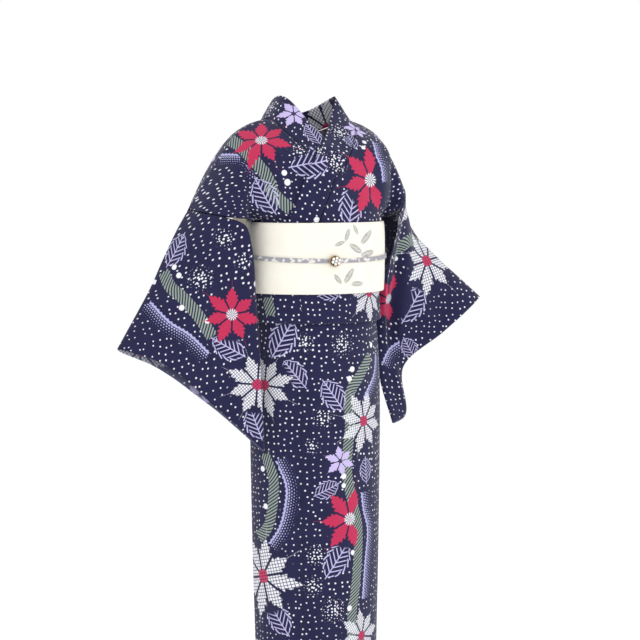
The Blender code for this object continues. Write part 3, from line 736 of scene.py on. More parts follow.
yukata_print = print_group()
plain_weave = weave_group()
cotton = []
for name, roughness, sheen, wash in (("printed_cotton", 0.88, 0.12, 0.0),
                                     ("cotton_reverse", 0.92, 0.10, 0.45)):
    material, tree, shader = cloth_material(name, COTTON_THREADS, 0.30, roughness, sheen)
    dye = tree.nodes.new("ShaderNodeGroup")
    dye.node_tree = yukata_print
    tree.links.new(mixed(tree, wash, dye.outputs["Colour"], WASHED_BLUE), shader.inputs["Base Color"])
    cotton.append(material)

skirt_heights = np.linspace(HIDDEN_TOP, HEM, SKIRT_ROWS)[:, None]
skirt = {}
skirt_flat = {}
for side, sign in (("left", 1.0), ("right", -1.0)):
    for name, start, end, overlaps in (
        ("skirt_back", 180.0, SKIRT_SIDE_SEAM, False),
        ("skirt_front", SKIRT_SIDE_SEAM, -OKUMI_SEAM, True),
        ("skirt_okumi", -OKUMI_SEAM, -FRONT_EDGE, True),
    ):
        columns = max(8, int(math.radians(start - end) * TUBE_RADIUS / CELL))
        own = np.linspace(start - SEAM_TRIM, end + SEAM_TRIM, columns)[None, :]
        out, lift = 0.0, 0.0
        if overlaps:
            out = sign * LAYER * ease((SKIRT_SIDE_SEAM - own) / LAYER_RUN)
            lift = HEM_LIFT * ease((-own - HEM_LIFT_FROM) / (FRONT_EDGE - HEM_LIFT_FROM))
        level = skirt_heights + lift * ease((HEM_LIFT_START - skirt_heights) / (HEM_LIFT_START - HEM))
        grid = on_form(SKIRT_FORM, sign * own, level, out)
        facing = facing_of(grid, np.array([0.0, 0.0, -0.8]))
        skirt[f"{name}_{side}"] = (folded(grid, facing, SKIRT_FOLDS), facing)
        skirt_flat[f"{name}_{side}"] = np.stack(
            np.broadcast_arrays(np.radians(sign * own) * TUBE_RADIUS, level - PRINT_SHIFT), axis=-1)
skirt_shown = [piece for name, piece in skirt.items() if name != "skirt_okumi_right"]
skirt_motifs = hidden_motifs(skirt_shown, laid_motifs(skirt_shown, SKIRT_MOTIFS), *LOTS["skirt"])
skirt_bands = laid_bands(skirt_shown, SKIRT_BANDS)
for degrees, sway in BACK_BANDS:
    heights = np.linspace(-0.40, HEM, 60)
    angles = degrees + sway * np.sin(heights * 11.0)
    line = on_form(SKIRT_FORM, angles, heights)
    outward = on_form(SKIRT_FORM, angles, heights, 0.001) - line
    skirt_bands.append(("hatched", line, outward * 1000.0))
for name, wide in (("skirt_back", 0.270), ("skirt_front", 0.215), ("skirt_okumi", 0.147)):
    for side in ("left", "right"):
        node = f"{name}_{side}"
        grid, facing = skirt[node]
        item = cloth_piece(f"{node}_cloth", grid, facing, cotton, COTTON, skirt_motifs, skirt_bands,
                           flat=skirt_flat[node])
        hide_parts(node)


# The body above the waist: each side is one strip that runs from the tuck under the sash up the
# back, over the shoulder and down the front, sewn to the collar and, round the armhole, to a sleeve.
# The surplus length is folded up at the waist, and its rounded lower edge shows under the sash.
ACROSS = 46
COLLAR_STATIONS = 84
NECK_SIDE_ROW = 4
COLLAR_GAP = 0.0017
COLLAR_WIDE = 0.055
DOUBLED = 0.0022                 # thickness of the cloths that are folded double
BACK_SEAM_CLEAR = 0.0001
ARMHOLE_GAP = 0.0034
ARMPIT_FOLD = 0.158              # from the middle to the deep fold beside the chest
ARMPIT_FOLD_DEPTH = 0.032
ARMPIT_FOLD_WIDTH = 0.022
ARMPIT_FOLD_TOP = -0.070
CHEST_TOP = -0.050               # the front lies on the chest from here down, and this far out
CHEST_SIDE = 0.150
CHEST_FORM_END = -0.30
COLLAR_LAID_FROM = -0.075        # the collar lies on the chest from here down
COLLAR_SLOPE = 0.5               # of its seam line, towards the middle, where it goes under the sash
COLLAR_SEAM_OUT = -0.066
COLLAR_PUFF = 0.0007
SHALLOW = 0.0025                 # depth of the folds that press through the collar
BELOW_ROWS = 34
CHEST_SWELL = 0.020
BACK_SWELL = 0.060
TUCK_EDGE = -0.422
BLOUSE_LINE = -0.212
UPPER_SIDE_SEAM = 75.0
SETTLING = 84
TUCK_ROLL = (
    # height, how far drawn in
    (-0.4245, -0.0008), (-0.4255, -0.0024), (-0.4245, -0.0042), (-0.4180, -0.0052),
    (-0.4100, -0.0056),
)
UPPER_FORM = (
    (-0.100, 0.150, 0.096, 0.006),
    (-0.160, 0.147, 0.103, 0.002),
    (-0.212, 0.142, 0.104, 0.000),
    (-0.300, 0.140, 0.1065, 0.000),
    (-0.371, 0.140, 0.108, 0.000),
    (-0.422, 0.143, 0.1145, 0.001),
)
# The collar from the nape to where it goes under the sash: its free edge and its sewn edge
NAPE = (
    # edge x, y, z, seam x, y, z
    (0.000, 0.148, 0.008, 0.000, 0.163, -0.044),
    (0.036, 0.138, 0.016, 0.046, 0.156, -0.034),
    (0.057, 0.108, 0.030, 0.080, 0.120, -0.018),
    (0.064, 0.072, 0.042, 0.092, 0.074, -0.006),
    (0.063, 0.040, 0.046, 0.092, 0.036, -0.003),
)
LEFT_COLLAR = NAPE + (
    (0.054, 0.027, 0.028, 0.090, 0.012, -0.010),
    (0.042, 0.012, 0.010, 0.084, -0.016, -0.022),
    (0.023, -0.014, -0.014, 0.066, -0.046, -0.044),
    (0.000, -0.044, -0.040, 0.046, -0.074, -0.070),
    (-0.016, -0.067, -0.056, 0.032, -0.088, -0.086),
    (-0.034, -0.086, -0.078, 0.014, -0.100, -0.108),
    (-0.052, -0.095, -0.099, -0.004, -0.105, -0.128),
    (-0.082, -0.087, -0.170, -0.034, -0.103, -0.197),
    (-0.100, -0.078, -0.218, -0.054, -0.098, -0.243),
    (-0.118, -0.060, -0.262, -0.078, -0.090, -0.288),
)
RIGHT_COLLAR = tuple((-row[0], row[1], row[2], -row[3], row[4], row[5]) for row in NAPE) + (
    (-0.057, 0.014, 0.038, -0.091, 0.010, -0.010),
    (-0.046, -0.001, 0.022, -0.086, -0.014, -0.022),
    (-0.034, -0.010, 0.004, -0.076, -0.034, -0.038),
    (-0.020, -0.027, -0.018, -0.062, -0.054, -0.058),
    (-0.002, -0.046, -0.042, -0.044, -0.073, -0.078),
    (0.026, -0.068, -0.066, -0.020, -0.088, -0.100),
    (0.052, -0.082, -0.099, 0.004, -0.096, -0.128),
    (0.082, -0.080, -0.170, 0.034, -0.096, -0.197),
    (0.100, -0.071, -0.218, 0.054, -0.091, -0.243),
    (0.118, -0.052, -0.262, 0.078, -0.083, -0.288),
)
SHOULDER = {
    "left": ((0.092, 0.036, -0.003), (0.126, 0.030, -0.016), (0.160, 0.025, -0.040),
             (0.186, 0.030, -0.084), (0.210, 0.040, -0.138)),
    "right": ((-0.092, 0.036, -0.003), (-0.130, 0.032, -0.012), (-0.172, 0.028, -0.038),
              (-0.212, 0.034, -0.093), (-0.267, 0.054, -0.190)),
}
ARMHOLE_FRONT = {
    "left": ((0.210, 0.040, -0.138), (0.206, -0.006, -0.148), (0.190, -0.042, -0.168),
             (0.165, -0.056, -0.192), (0.137, -0.027, -0.212)),
    "right": ((-0.267, 0.054, -0.190), (-0.254, 0.000, -0.196), (-0.218, -0.044, -0.204),
              (-0.176, -0.060, -0.210), (-0.137, -0.027, -0.212)),
}
ARMHOLE_BACK = {
    "left": ((0.210, 0.040, -0.138), (0.211, 0.074, -0.151), (0.198, 0.090, -0.176),
             (0.168, 0.062, -0.200), (0.137, -0.027, -0.212)),
    "right": ((-0.267, 0.054, -0.190), (-0.254, 0.086, -0.196), (-0.218, 0.094, -0.204),
              (-0.174, 0.062, -0.210), (-0.137, -0.027, -0.212)),
}
CENTRE_BACK = ((0.0, 0.163, -0.044), (0.0, 0.160, -0.090), (0.0, 0.140, -0.150), (0.0, 0.104, -0.212))
UPPER_FOLDS = (
    # side (front -1, back 1), from x, z, to x, z, depth, width
    (-1, -0.176, -0.066, -0.168, -0.205, 0.0060, 0.010),
    (-1, -0.206, -0.105, -0.190, -0.185, 0.0035, 0.012),
    (-1, -0.118, -0.036, -0.160, -0.120, 0.0030, 0.014),
    (-1, 0.168, -0.070, 0.164, -0.200, 0.0060, 0.010),
    (-1, 0.112, -0.040, 0.156, -0.110, 0.0026, 0.013),
    (-1, -0.085, -0.130, -0.130, -0.205, 0.0024, 0.014),
    (-1, 0.070, -0.130, 0.128, -0.205, 0.0026, 0.012),
    (-1, 0.050, -0.160, 0.060, -0.212, 0.0014, 0.009),
    (-1, -0.110, -0.372, -0.060, -0.415, 0.0020, 0.012),
    (-1, -0.020, -0.372, -0.034, -0.420, 0.0014, 0.010),
    (-1, 0.050, -0.372, 0.090, -0.410, 0.0018, 0.012),
    (-1, 0.112, -0.372, 0.104, -0.420, 0.0020, 0.010),
    (1, -0.165, -0.060, -0.168, -0.190, 0.0070, 0.016),
    (1, 0.160, -0.060, 0.160, -0.190, 0.0070, 0.016),
    (1, -0.030, -0.090, -0.080, -0.205, 0.0040, 0.016),
    (1, 0.030, -0.080, 0.090, -0.205, 0.0045, 0.018),
    (1, -0.085, -0.070, -0.130, -0.180, 0.0030, 0.014),
    (1, 0.012, -0.130, 0.020, -0.210, 0.0022, 0.010),
    (1, -0.060, -0.372, -0.040, -0.420, 0.0018, 0.012),
    (1, 0.070, -0.372, 0.050, -0.420, 0.0018, 0.012),
)
UPPER_MOTIFS = (
    ("red_flower", -127, 388, 64, 20), ("half_red_flower", 112, 295, 74, 10),
    ("lilac_flower", -53, 443, 34, 30), ("lilac_flower", 78, 407, 28, 0),
    ("gridded_flower", 110, 61, 62, 20),
    ("leaf", -13, 402, 26, 110), ("leaf", -13, 329, 42, 10), ("leaf", -121, 261, 38, 120),
    ("leaf", 72, 240, 44, 75), ("leaf", 70, 384, 22, 100), ("leaf", 30, 60, 28, 20),
    ("spot", -72, 314, 7, 0), ("spot", -61, 293, 8, 0), ("spot", 97, 384, 6, 0),
    ("spot", 97, 369, 6, 0), ("spot", -2, 210, 7, 0),
    ("dot_cluster", 44, 404, 28, 10), ("dot_cluster", 42, 337, 30, 0),
    ("dot_cluster", -36, 362, 22, 0), ("dot_cluster", -110, 452, 26, 0), ("dot_cluster", 8, 366, 18, 0),
)
UPPER_BANDS = (
    ("hatched", ((-196, 386), (-168, 372), (-138, 342), (-118, 300), (-94, 264), (-64, 230))),
    ("edged", ((-133, 304), (-139, 325), (-156, 348), (-187, 358), (-214, 354))),
    ("edged", ((112, 385), (124, 352), (134, 322), (138, 290))),
    ("hatched", ((-118, 50), (-108, 10))),
)


def chest_y(x, height):
    """Depth of the body's front at places across it and at heights."""
    half_width, half_depth, middle = form_at(UPPER_FORM, np.maximum(height, CHEST_FORM_END))
    return middle - half_depth * np.sqrt(np.maximum(0.04, 1.0 - (x / half_width) ** 2))


def patch(top, bottom, inner, outer):
    """Surface filled between four lines that share their corners, as rows of points."""
    s = np.linspace(0, 1, len(top))[None, :, None]
    t = np.linspace(0, 1, len(inner))[:, None, None]
    across = (1 - s) * inner[:, None, :] + s * outer[:, None, :]
    down = (1 - t) * top[None, :, :] + t * bottom[None, :, :]
    corners = ((1 - s) * (1 - t) * top[0] + s * (1 - t) * top[-1]
               + (1 - s) * t * bottom[0] + s * t * bottom[-1])
    return across + down - corners


def settled(grid, rounds):
    """Grid with its inner points eased towards their neighbours, its border kept."""
    for _ in range(rounds):
        middle = 0.25 * (grid[:-2, 1:-1] + grid[2:, 1:-1] + grid[1:-1, :-2] + grid[1:-1, 2:])
        grid[1:-1, 1:-1] = 0.4 * grid[1:-1, 1:-1] + 0.6 * middle
    return grid


def collar_lines(table, sign):
    """Free edge and seam line of one half of the collar, laid on the chest where it reaches it."""
    line = curve_through(table, COLLAR_STATIONS)
    edge, seam = line[:, :3].copy(), line[:, 3:].copy()
    for points in (edge, seam):
        share = ease((COLLAR_LAID_FROM - points[:, 2]) / 0.03) * (points[:, 1] < 0.0)
        laid = chest_y(points[:, 0], points[:, 2]) - sign * LAYER
        points[:, 1] += share * (laid - points[:, 1])
    return edge, seam


def waist_rows(sign, first_of, last, heights, out_of):
    """Rows round the waist under the sash, with the tuck's lower edge rolled under."""
    rows = []
    for height, drawn_in in [(h, 0.0) for h in heights] + list(TUCK_ROLL):
        own = np.linspace(first_of(max(height, TUCK_EDGE)), last, ACROSS)
        rows.append(on_form(UPPER_FORM, sign * own, max(height, TUCK_EDGE), out_of(own) + drawn_in))
        rows[-1][:, 2] = height
    return np.array(rows)


upper = {}
upper_flat = {}
below_heights = np.linspace(BLOUSE_LINE, TUCK_EDGE, BELOW_ROWS)
for side, sign, table in (("left", 1.0, LEFT_COLLAR), ("right", -1.0, RIGHT_COLLAR)):
    edge, seam = collar_lines(table, sign)
    away = (seam - edge) / np.linalg.norm(seam - edge, axis=1, keepdims=True)
    beside = seam + away * COLLAR_GAP
    neck_side = int(np.argmin(np.linalg.norm(seam - np.array(table[NECK_SIDE_ROW][3:]), axis=1)))
    low = int(np.argmin(np.abs(seam[:, 2] - (BLOUSE_LINE + 0.012))))

    def front_start(height):
        seam_x = COLLAR_SEAM_OUT - COLLAR_SLOPE * height
        under_collar = math.degrees(math.asin(min(0.9, seam_x / 0.142))) - 1.3
        return -min(OKUMI_SEAM, under_collar) + SEAM_TRIM

    def front_out(own):
        return sign * LAYER * ease((UPPER_SIDE_SEAM - own) / LAYER_RUN)

    below = waist_rows(sign, front_start, UPPER_SIDE_SEAM - SEAM_TRIM, below_heights, front_out)
    shoulder = curve_through(SHOULDER[side], ACROSS)
    inner = np.vstack([beside[neck_side:low + 1], np.linspace(beside[low], below[0, 0], 4)[1:]])
    shoulder[0] = inner[0]
    outer = curve_through(ARMHOLE_FRONT[side], len(inner))
    outer[-1] = below[0, -1]
    front = patch(shoulder, below[0], inner, outer)
    s = np.linspace(0, 1, ACROSS)[None, :]
    t = np.linspace(0, 1, len(inner))[:, None]
    x, y, z = front[..., 0], front[..., 1], front[..., 2]
    share = ease((CHEST_TOP - z) / 0.05) * ease((CHEST_SIDE - np.abs(x)) / 0.045)
    laid = chest_y(x, z) - front_out(np.degrees(np.arcsin(np.clip(sign * x / 0.145, -1.0, 1.0))))
    moved = share * (laid - y) - (1 - share) * CHEST_SWELL * 27 * s * (1 - s) ** 2 * t * (1 - t)
    front[1:-1, 1:-1, 1] += moved[1:-1, 1:-1]
    front = settled(front, SETTLING)
    dent = np.exp(-((np.abs(front[..., 0]) - ARMPIT_FOLD) / ARMPIT_FOLD_WIDTH) ** 2)
    dent *= ease((ARMPIT_FOLD_TOP - front[..., 2]) / 0.06)
    front[1:-1, 1:-1, 1] += ARMPIT_FOLD_DEPTH * dent[1:-1, 1:-1]
    front = settled(front, SETTLING // 6)
    back_below = waist_rows(sign, lambda height: 180.0 - SEAM_TRIM, UPPER_SIDE_SEAM + SEAM_TRIM,
                            below_heights, np.zeros_like)
    neck_in = np.vstack([beside[neck_side::-1], curve_through(CENTRE_BACK, 24)[1:]])
    neck_in[0], neck_in[-1] = shoulder[0], back_below[0, 0]
    back_outer = curve_through(ARMHOLE_BACK[side], len(neck_in))
    back_outer[-1] = back_below[0, -1]
    back = patch(shoulder, back_below[0], neck_in, back_outer)
    back[:, :, 0] = sign * np.maximum(sign * back[:, :, 0], BACK_SEAM_CLEAR)
    t = np.linspace(0, 1, len(neck_in))[:, None]
    back[..., 1] += BACK_SWELL * 4 * s * (1 - s) * t * (1 - t)
    grid = np.vstack([back_below[:0:-1], back[::-1], front[1:], below[1:]])
    facing = facing_of(grid, np.array([0.0, 0.03, -0.2]))
    grid = folded(grid, facing, UPPER_FOLDS)
    step = np.diff(grid, axis=1)
    across = np.cumsum(np.pad(np.hypot(step[..., 0], step[..., 1]), ((0, 0), (1, 0))), axis=1)
    down = hung_down(grid, len(back_below) + len(back) - 2)
    upper[f"upper_body_{side}"] = (grid, facing)
    upper_flat[f"upper_body_{side}"] = np.stack([grid[:, :1, 0] + sign * across, down], axis=-1)


grid = waist_rows(1.0, lambda height: -OKUMI_SEAM - SEAM_TRIM, -FRONT_EDGE,
                  np.linspace(-0.305, TUCK_EDGE, 20), lambda own: LAYER)
facing = facing_of(grid, np.array([0.0, 0.0, -0.36]))
upper["upper_okumi_left"] = (folded(grid, facing, UPPER_FOLDS), facing)
upper_flat["upper_okumi_left"] = flat_places(grid)

# The collar: a strip folded double that runs in one piece down one front, round the nape and down
# the other, with its free edge a soft fold and its ends under the sash.
left_edge, left_seam = collar_lines(LEFT_COLLAR, 1.0)
right_edge, right_seam = collar_lines(RIGHT_COLLAR, -1.0)
edges = np.vstack([right_edge[::-1], left_edge[1:]])
seams = np.vstack([right_seam[::-1], left_seam[1:]])
shares = np.linspace(0.0, 1.0, 12)[:, None, None]
collar = (1 - shares) * edges[None] + shares * seams[None]
collar_facing = facing_of(collar, np.array([0.0, 0.05, -0.05]))
collar = folded(collar, collar_facing, [row for row in UPPER_FOLDS if row[5] < SHALLOW])
collar += collar_facing * (COLLAR_PUFF * np.sin(math.pi * shares))
collar_flat = np.stack(np.broadcast_arrays(run_along(collar[6])[None], COLLAR_WIDE * shares[..., 0]),
                       axis=-1)

upper_pieces = list(upper.values()) + [(collar, collar_facing)]
upper_motifs = hidden_motifs(upper_pieces, laid_motifs(upper_pieces, UPPER_MOTIFS), *LOTS["upper"])
upper_bands = laid_bands(upper_pieces, UPPER_BANDS)
for node, wide, long in (("upper_body_left", 0.26, 0.80), ("upper_body_right", 0.26, 0.80),
                         ("upper_okumi_left", 0.140, 0.135)):
    item = cloth_piece(f"{node}_cloth", *upper[node], cotton, COTTON, upper_motifs, upper_bands,
                       flat=upper_flat[node])
    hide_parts(node)
item = cloth_piece("collar_cloth", collar, collar_facing, cotton[:1], DOUBLED, upper_motifs,
                   upper_bands, flat=collar_flat)
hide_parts("collar")


# The sleeves: each is a strip folded over the arm and sewn along the bottom, open towards the body
# below the armhole, with a cuff opening of two thirds of its height. The paler reverse shows inside.
SLEEVE_ROUND = 60
SLEEVE_ALONG = 48
BACK_LONGER = 0.0035             # of the cuff's back over its front, so that both edges show
SLEEVE_TOP = {
    "left": ((0.236, 0.054, -0.194), (0.266, 0.064, -0.242), (0.306, 0.058, -0.288),
             (0.410, 0.015, -0.392)),
    "right": ((-0.293, 0.060, -0.238), (-0.322, 0.062, -0.296), (-0.358, 0.050, -0.360),
              (-0.436, 0.020, -0.472)),
}
SLEEVE_BOTTOM = {
    "left": ((0.158, 0.034, -0.361), (0.157, 0.036, -0.460), (0.157, 0.010, -0.560),
             (0.158, -0.050, -0.652)),
    "right": ((-0.156, -0.042, -0.361), (-0.157, -0.062, -0.470), (-0.156, -0.072, -0.590),
              (-0.150, -0.070, -0.690)),
}
# The edge towards the body between the armhole and the bottom, on the front and on the back
OPEN_FRONT = {
    "left": ((0.172, -0.052, -0.198), (0.166, -0.050, -0.242), (0.163, -0.012, -0.310)),
    "right": ((-0.184, -0.060, -0.220), (-0.172, -0.062, -0.260), (-0.163, -0.056, -0.310)),
}
OPEN_BACK = {
    "left": ((0.192, 0.072, -0.240), (0.180, 0.052, -0.310)),
    "right": ((-0.196, 0.070, -0.250), (-0.180, 0.016, -0.312)),
}
CUFF_MIDDLE = {
    "left": ((0.410, 0.015, -0.392), (0.318, 0.026, -0.468), (0.228, 0.034, -0.540),
             (0.208, -0.018, -0.632), (0.158, -0.050, -0.652)),
    "right": ((-0.436, 0.020, -0.472), (-0.340, 0.002, -0.514), (-0.252, -0.030, -0.590),
              (-0.200, -0.052, -0.640), (-0.150, -0.070, -0.690)),
}
CUFF_SPREAD = (
    # share of the edge from the fold to the bottom, half opening
    (0.00, 0.0000), (0.06, 0.0160), (0.16, 0.0230), (0.32, 0.0210),
    (0.48, 0.0120), (0.60, 0.0030), (0.66, 0.0012), (1.00, 0.0012),
)
CUFF_NORMAL = {"left": (0.19, 0.98, -0.11), "right": (-0.15, 0.97, -0.10)}
SLEEVE_FOLDS = {
    "left": (
        (-1, 0.204, -0.200, 0.196, -0.520, 0.0120, 0.011),
        (-1, 0.232, -0.190, 0.222, -0.480, -0.0040, 0.013),
        (-1, 0.262, -0.260, 0.300, -0.440, 0.0040, 0.018),
        (-1, 0.330, -0.330, 0.300, -0.470, 0.0030, 0.018),
        (-1, 0.180, -0.400, 0.190, -0.600, 0.0030, 0.012),
        (1, 0.215, -0.220, 0.205, -0.520, 0.0080, 0.014),
        (1, 0.250, -0.250, 0.270, -0.500, 0.0050, 0.020),
    ),
    "right": (
        (-1, -0.214, -0.190, -0.200, -0.520, 0.0045, 0.016),
        (-1, -0.250, -0.210, -0.262, -0.540, 0.0030, 0.022),
        (-1, -0.290, -0.290, -0.330, -0.500, 0.0030, 0.020),
        (-1, -0.350, -0.370, -0.370, -0.480, 0.0020, 0.016),
        (-1, -0.180, -0.420, -0.190, -0.640, 0.0030, 0.016),
        (1, -0.224, -0.220, -0.210, -0.560, 0.0070, 0.018),
        (1, -0.280, -0.280, -0.300, -0.540, 0.0050, 0.024),
        (1, -0.330, -0.340, -0.370, -0.480, 0.0030, 0.018),
    ),
}
SLEEVE_MOTIFS = {
    "left": (
        ("gridded_flower", 231, 125, 76, 10), ("half_red_flower", 152, 42, 58, 0),
        ("leaf", 201, 30, 42, 60), ("leaf", 196, -60, 26, 120),
        ("dot_cluster", 166, 208, 28, 0), ("dot_cluster", 156, 176, 22, 20),
        ("spot", 168, 128, 6, 0),
    ),
    "right": (
        ("red_flower", -182, 11, 60, 12), ("gridded_flower", -123, -138, 66, 40),
        ("leaf", -308, 153, 36, 70), ("leaf", -187, -55, 36, 150), ("leaf", -142, -222, 34, 110),
        ("spot", -314, 113, 7, 0), ("spot", -305, 97, 7, 0), ("spot", -299, 28, 7, 0),
        ("spot", -236, 4, 6, 0), ("dot_cluster", -261, 93, 30, 0),
        ("dot_cluster", -208, 176, 24, 15), ("dot_cluster", -170, 120, 20, 0),
    ),
}
SLEEVE_BANDS = {
    "left": (
        ("hatched", ((163, 122), (174, 152), (196, 166), (226, 172))),
        ("edged", ((170, -50), (150, -66), (136, -88))),
    ),
    "right": (
        ("hatched", ((-339, 106), (-318, 78), (-297, 49), (-258, 15), (-222, -34))),
        ("edged", ((-227, -70), (-270, -25), (-318, 4), (-366, 46))),
    ),
}
for side in ("left", "right"):
    top = curve_through(SHOULDER[side][-1:] + SLEEVE_TOP[side], SLEEVE_ALONG)
    bottom = curve_through(SLEEVE_BOTTOM[side], SLEEVE_ALONG)
    middle = curve_through(CUFF_MIDDLE[side], SLEEVE_ROUND)
    spread = np.array(CUFF_SPREAD)
    normal = np.array(CUFF_NORMAL[side]) / np.linalg.norm(CUFF_NORMAL[side])
    half = np.interp(np.linspace(0, 1, SLEEVE_ROUND), spread[:, 0], spread[:, 1])
    past = (middle - bottom[0]) / np.linalg.norm(middle - bottom[0], axis=1, keepdims=True)
    sides = []
    for out, armhole, opening in ((-1.0, ARMHOLE_FRONT, OPEN_FRONT), (1.0, ARMHOLE_BACK, OPEN_BACK)):
        cuff = middle + out * half[:, None] * normal
        cuff[0], cuff[-1] = top[-1], bottom[-1]
        if out > 0:
            cuff[1:-1] += BACK_LONGER * past[1:-1]
        inner = armhole[side][:3] + opening[side] + SLEEVE_BOTTOM[side][:1]
        inner = curve_through(inner, SLEEVE_ROUND)
        inner[0], inner[-1] = top[0], bottom[0]
        sides.append(patch(top, bottom, inner, cuff))
    grid = np.vstack([sides[0], sides[1][-2::-1]])
    clear = (top[6] - top[0]) / np.linalg.norm(top[6] - top[0]) * ARMHOLE_GAP
    grid += np.maximum(0.0, 1.0 - 8.0 * np.linspace(0, 1, SLEEVE_ALONG))[None, :, None] * clear
    facing = facing_of(grid, grid.mean(axis=0))
    grid = folded(grid, facing, SLEEVE_FOLDS[side])
    grid[-1] = grid[0]
    down = np.vstack([hung_down(grid[:SLEEVE_ROUND], 0), hung_down(grid[SLEEVE_ROUND - 1:], -1)[1:]])
    lie = np.stack([grid[..., 0], down], axis=-1)
    pieces = [(grid, facing)]
    motifs = hidden_motifs(pieces, laid_motifs(pieces, SLEEVE_MOTIFS[side]), *LOTS["sleeve"])
    item = cloth_piece(f"sleeve_{side}_cloth", grid, facing, cotton, COTTON, motifs,
                       laid_bands(pieces, SLEEVE_BANDS[side]), flat=lie)
    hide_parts(f"sleeve_{side}")


# The sash: a stiff woven band wound round the waist, ivory with a pale painted sprig. At the back
# it is tied in a drum: one square loop, with the tail folded inside it and showing at both ends.
OBI_CLOTH = 0.003
OBI_TOP = -0.218
OBI_BOTTOM = -0.365
OBI_FORM = (
    (-0.365, 0.1475, 0.1130, 0.000),
    (-0.330, 0.1490, 0.1140, 0.000),
    (-0.275, 0.1495, 0.1145, 0.000),
    (-0.240, 0.1490, 0.1140, 0.000),
    (-0.218, 0.1470, 0.1125, 0.000),
)
OBI_FOLDS = (
    (-1, -0.130, -0.235, -0.090, -0.345, 0.0009, 0.012),
    (-1, 0.120, -0.240, 0.098, -0.350, 0.0010, 0.012),
    (-1, -0.040, -0.330, 0.060, -0.352, 0.0005, 0.012),
    (-1, 0.020, -0.250, 0.090, -0.262, 0.0005, 0.010),
    (1, -0.130, -0.240, -0.120, -0.350, 0.0010, 0.010),
)
SHADED_IVORY, IVORY = (0.80, 0.765, 0.665), (0.90, 0.872, 0.785)
SPRIG_GREY, SPRIG_VEIN, SPRIG_BUD = (0.25, 0.26, 0.25), (0.90, 0.87, 0.78), (0.62, 0.55, 0.50)
OBI_SPRIG = (
    # figure, across, up, reach, turn
    ("leaf", 104, 172, 23, 40), ("leaf", 80, 156, 20, 150), ("leaf", 108, 138, 21, 10),
    ("leaf", 62, 184, 15, 70), ("leaf", 50, 160, 13, 20), ("leaf", 84, 190, 13, 120),
    ("spot", 92, 160, 4, 0), ("spot", 68, 170, 4, 0), ("spot", 96, 148, 4, 0),
    ("leaf", 66, 92, 20, 55), ("leaf", 84, 76, 17, 0), ("leaf", 44, 84, 14, 130),
    ("spot", 58, 78, 4, 0),
)
DRUM_HALF_WIDTH = 0.130
DRUM_DEPTH = 0.176
DRUM_OUT = 0.0026
DRUM_EASE = 0.0026
DRUM_CURVE = 0.018
DRUM_SPREAD = 0.1525             # half width of the form that the drum lies on
TAIL_OUT = 0.0070
TAIL_HEIGHTS = (-0.328, -0.252)
TAIL_ENDS = (104.0, 256.0)
OBI_LIP = ((0.010, 0.0002), (0.003, 0.0003), (0.0007, 0.0008), (0.0, 0.0016), (0.0007, 0.0026))
DRUM_LOOP = (
    # height, share of the way out to the flat face, extra swell
    (-0.232, 0.00, 0.0000), (-0.290, 0.00, 0.0000), (-0.345, 0.00, 0.0000), (-0.400, 0.10, 0.0020),
    (-0.432, 0.32, 0.0000), (-0.440, 0.62, 0.0000), (-0.425, 0.90, 0.0000), (-0.380, 1.00, 0.0040),
    (-0.320, 1.00, 0.0060), (-0.260, 1.00, 0.0020), (-0.215, 0.90, 0.0000), (-0.194, 0.64, 0.0000),
    (-0.192, 0.34, 0.0000), (-0.206, 0.12, 0.0020), (-0.232, 0.00, 0.0000),
)

woven_ivory, tree, shader = cloth_material("woven_ivory", 620.0, 0.35, 0.55, 0.25)
do = formula(tree)
lie = flat_lie(tree)
figure_x, figure_y, figure_kind = attribute_parts(tree, "figure")
beside = do("ABSOLUTE", figure_y)
leaf_edge = do("MULTIPLY", bowed(do, figure_x, 0.8), 0.34)
leaf = do("MULTIPLY", is_kind(do, figure_kind, SMALL_FIGURES, "leaf"),
          within(do, beside, leaf_edge, 0.05))
vein = do("MULTIPLY", leaf, within(do, beside, 0.04, 0.02))
bud = do("MULTIPLY", is_kind(do, figure_kind, SMALL_FIGURES, "spot"),
         within(do, far_from_middle(do, figure_x, figure_y), 0.8, 0.1))
ivory = mixed(tree, noise(tree, lie, 30.0, 3.0), SHADED_IVORY, IVORY)
brush = do("MULTIPLY_ADD", noise(tree, lie, 170.0, 2.0), 0.9, 0.25, clamp=True)
ivory = mixed(tree, do("MULTIPLY", leaf, brush), ivory, SPRIG_GREY)
ivory = mixed(tree, do("MULTIPLY", vein, 0.5), ivory, SPRIG_VEIN)
ivory = mixed(tree, do("MULTIPLY", bud, 0.55), ivory, SPRIG_BUD)
tree.links.new(ivory, shader.inputs["Base Color"])

degrees = np.linspace(0.0, 360.0, 221)
profile = [(OBI_TOP - drop, out) for drop, out in OBI_LIP]
profile += [(height, OBI_CLOTH) for height in np.linspace(OBI_TOP - 0.003, OBI_BOTTOM + 0.003, 26)]
profile += [(OBI_BOTTOM + rise, out) for rise, out in OBI_LIP[::-1]]
grid = np.array([on_form(OBI_FORM, degrees, height, out - 0.0003) for height, out in profile])
grid[:, -1] = grid[:, 0]
facing = facing_of(grid, np.array([0.0, 0.0, -0.29]))
band = folded(grid, facing, OBI_FOLDS)
sprig = laid_motifs([(band, facing)], OBI_SPRIG)
item = cloth_piece("obi_band_cloth", band, facing, (woven_ivory,), 0.0006, sprig)
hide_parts("obi_band")

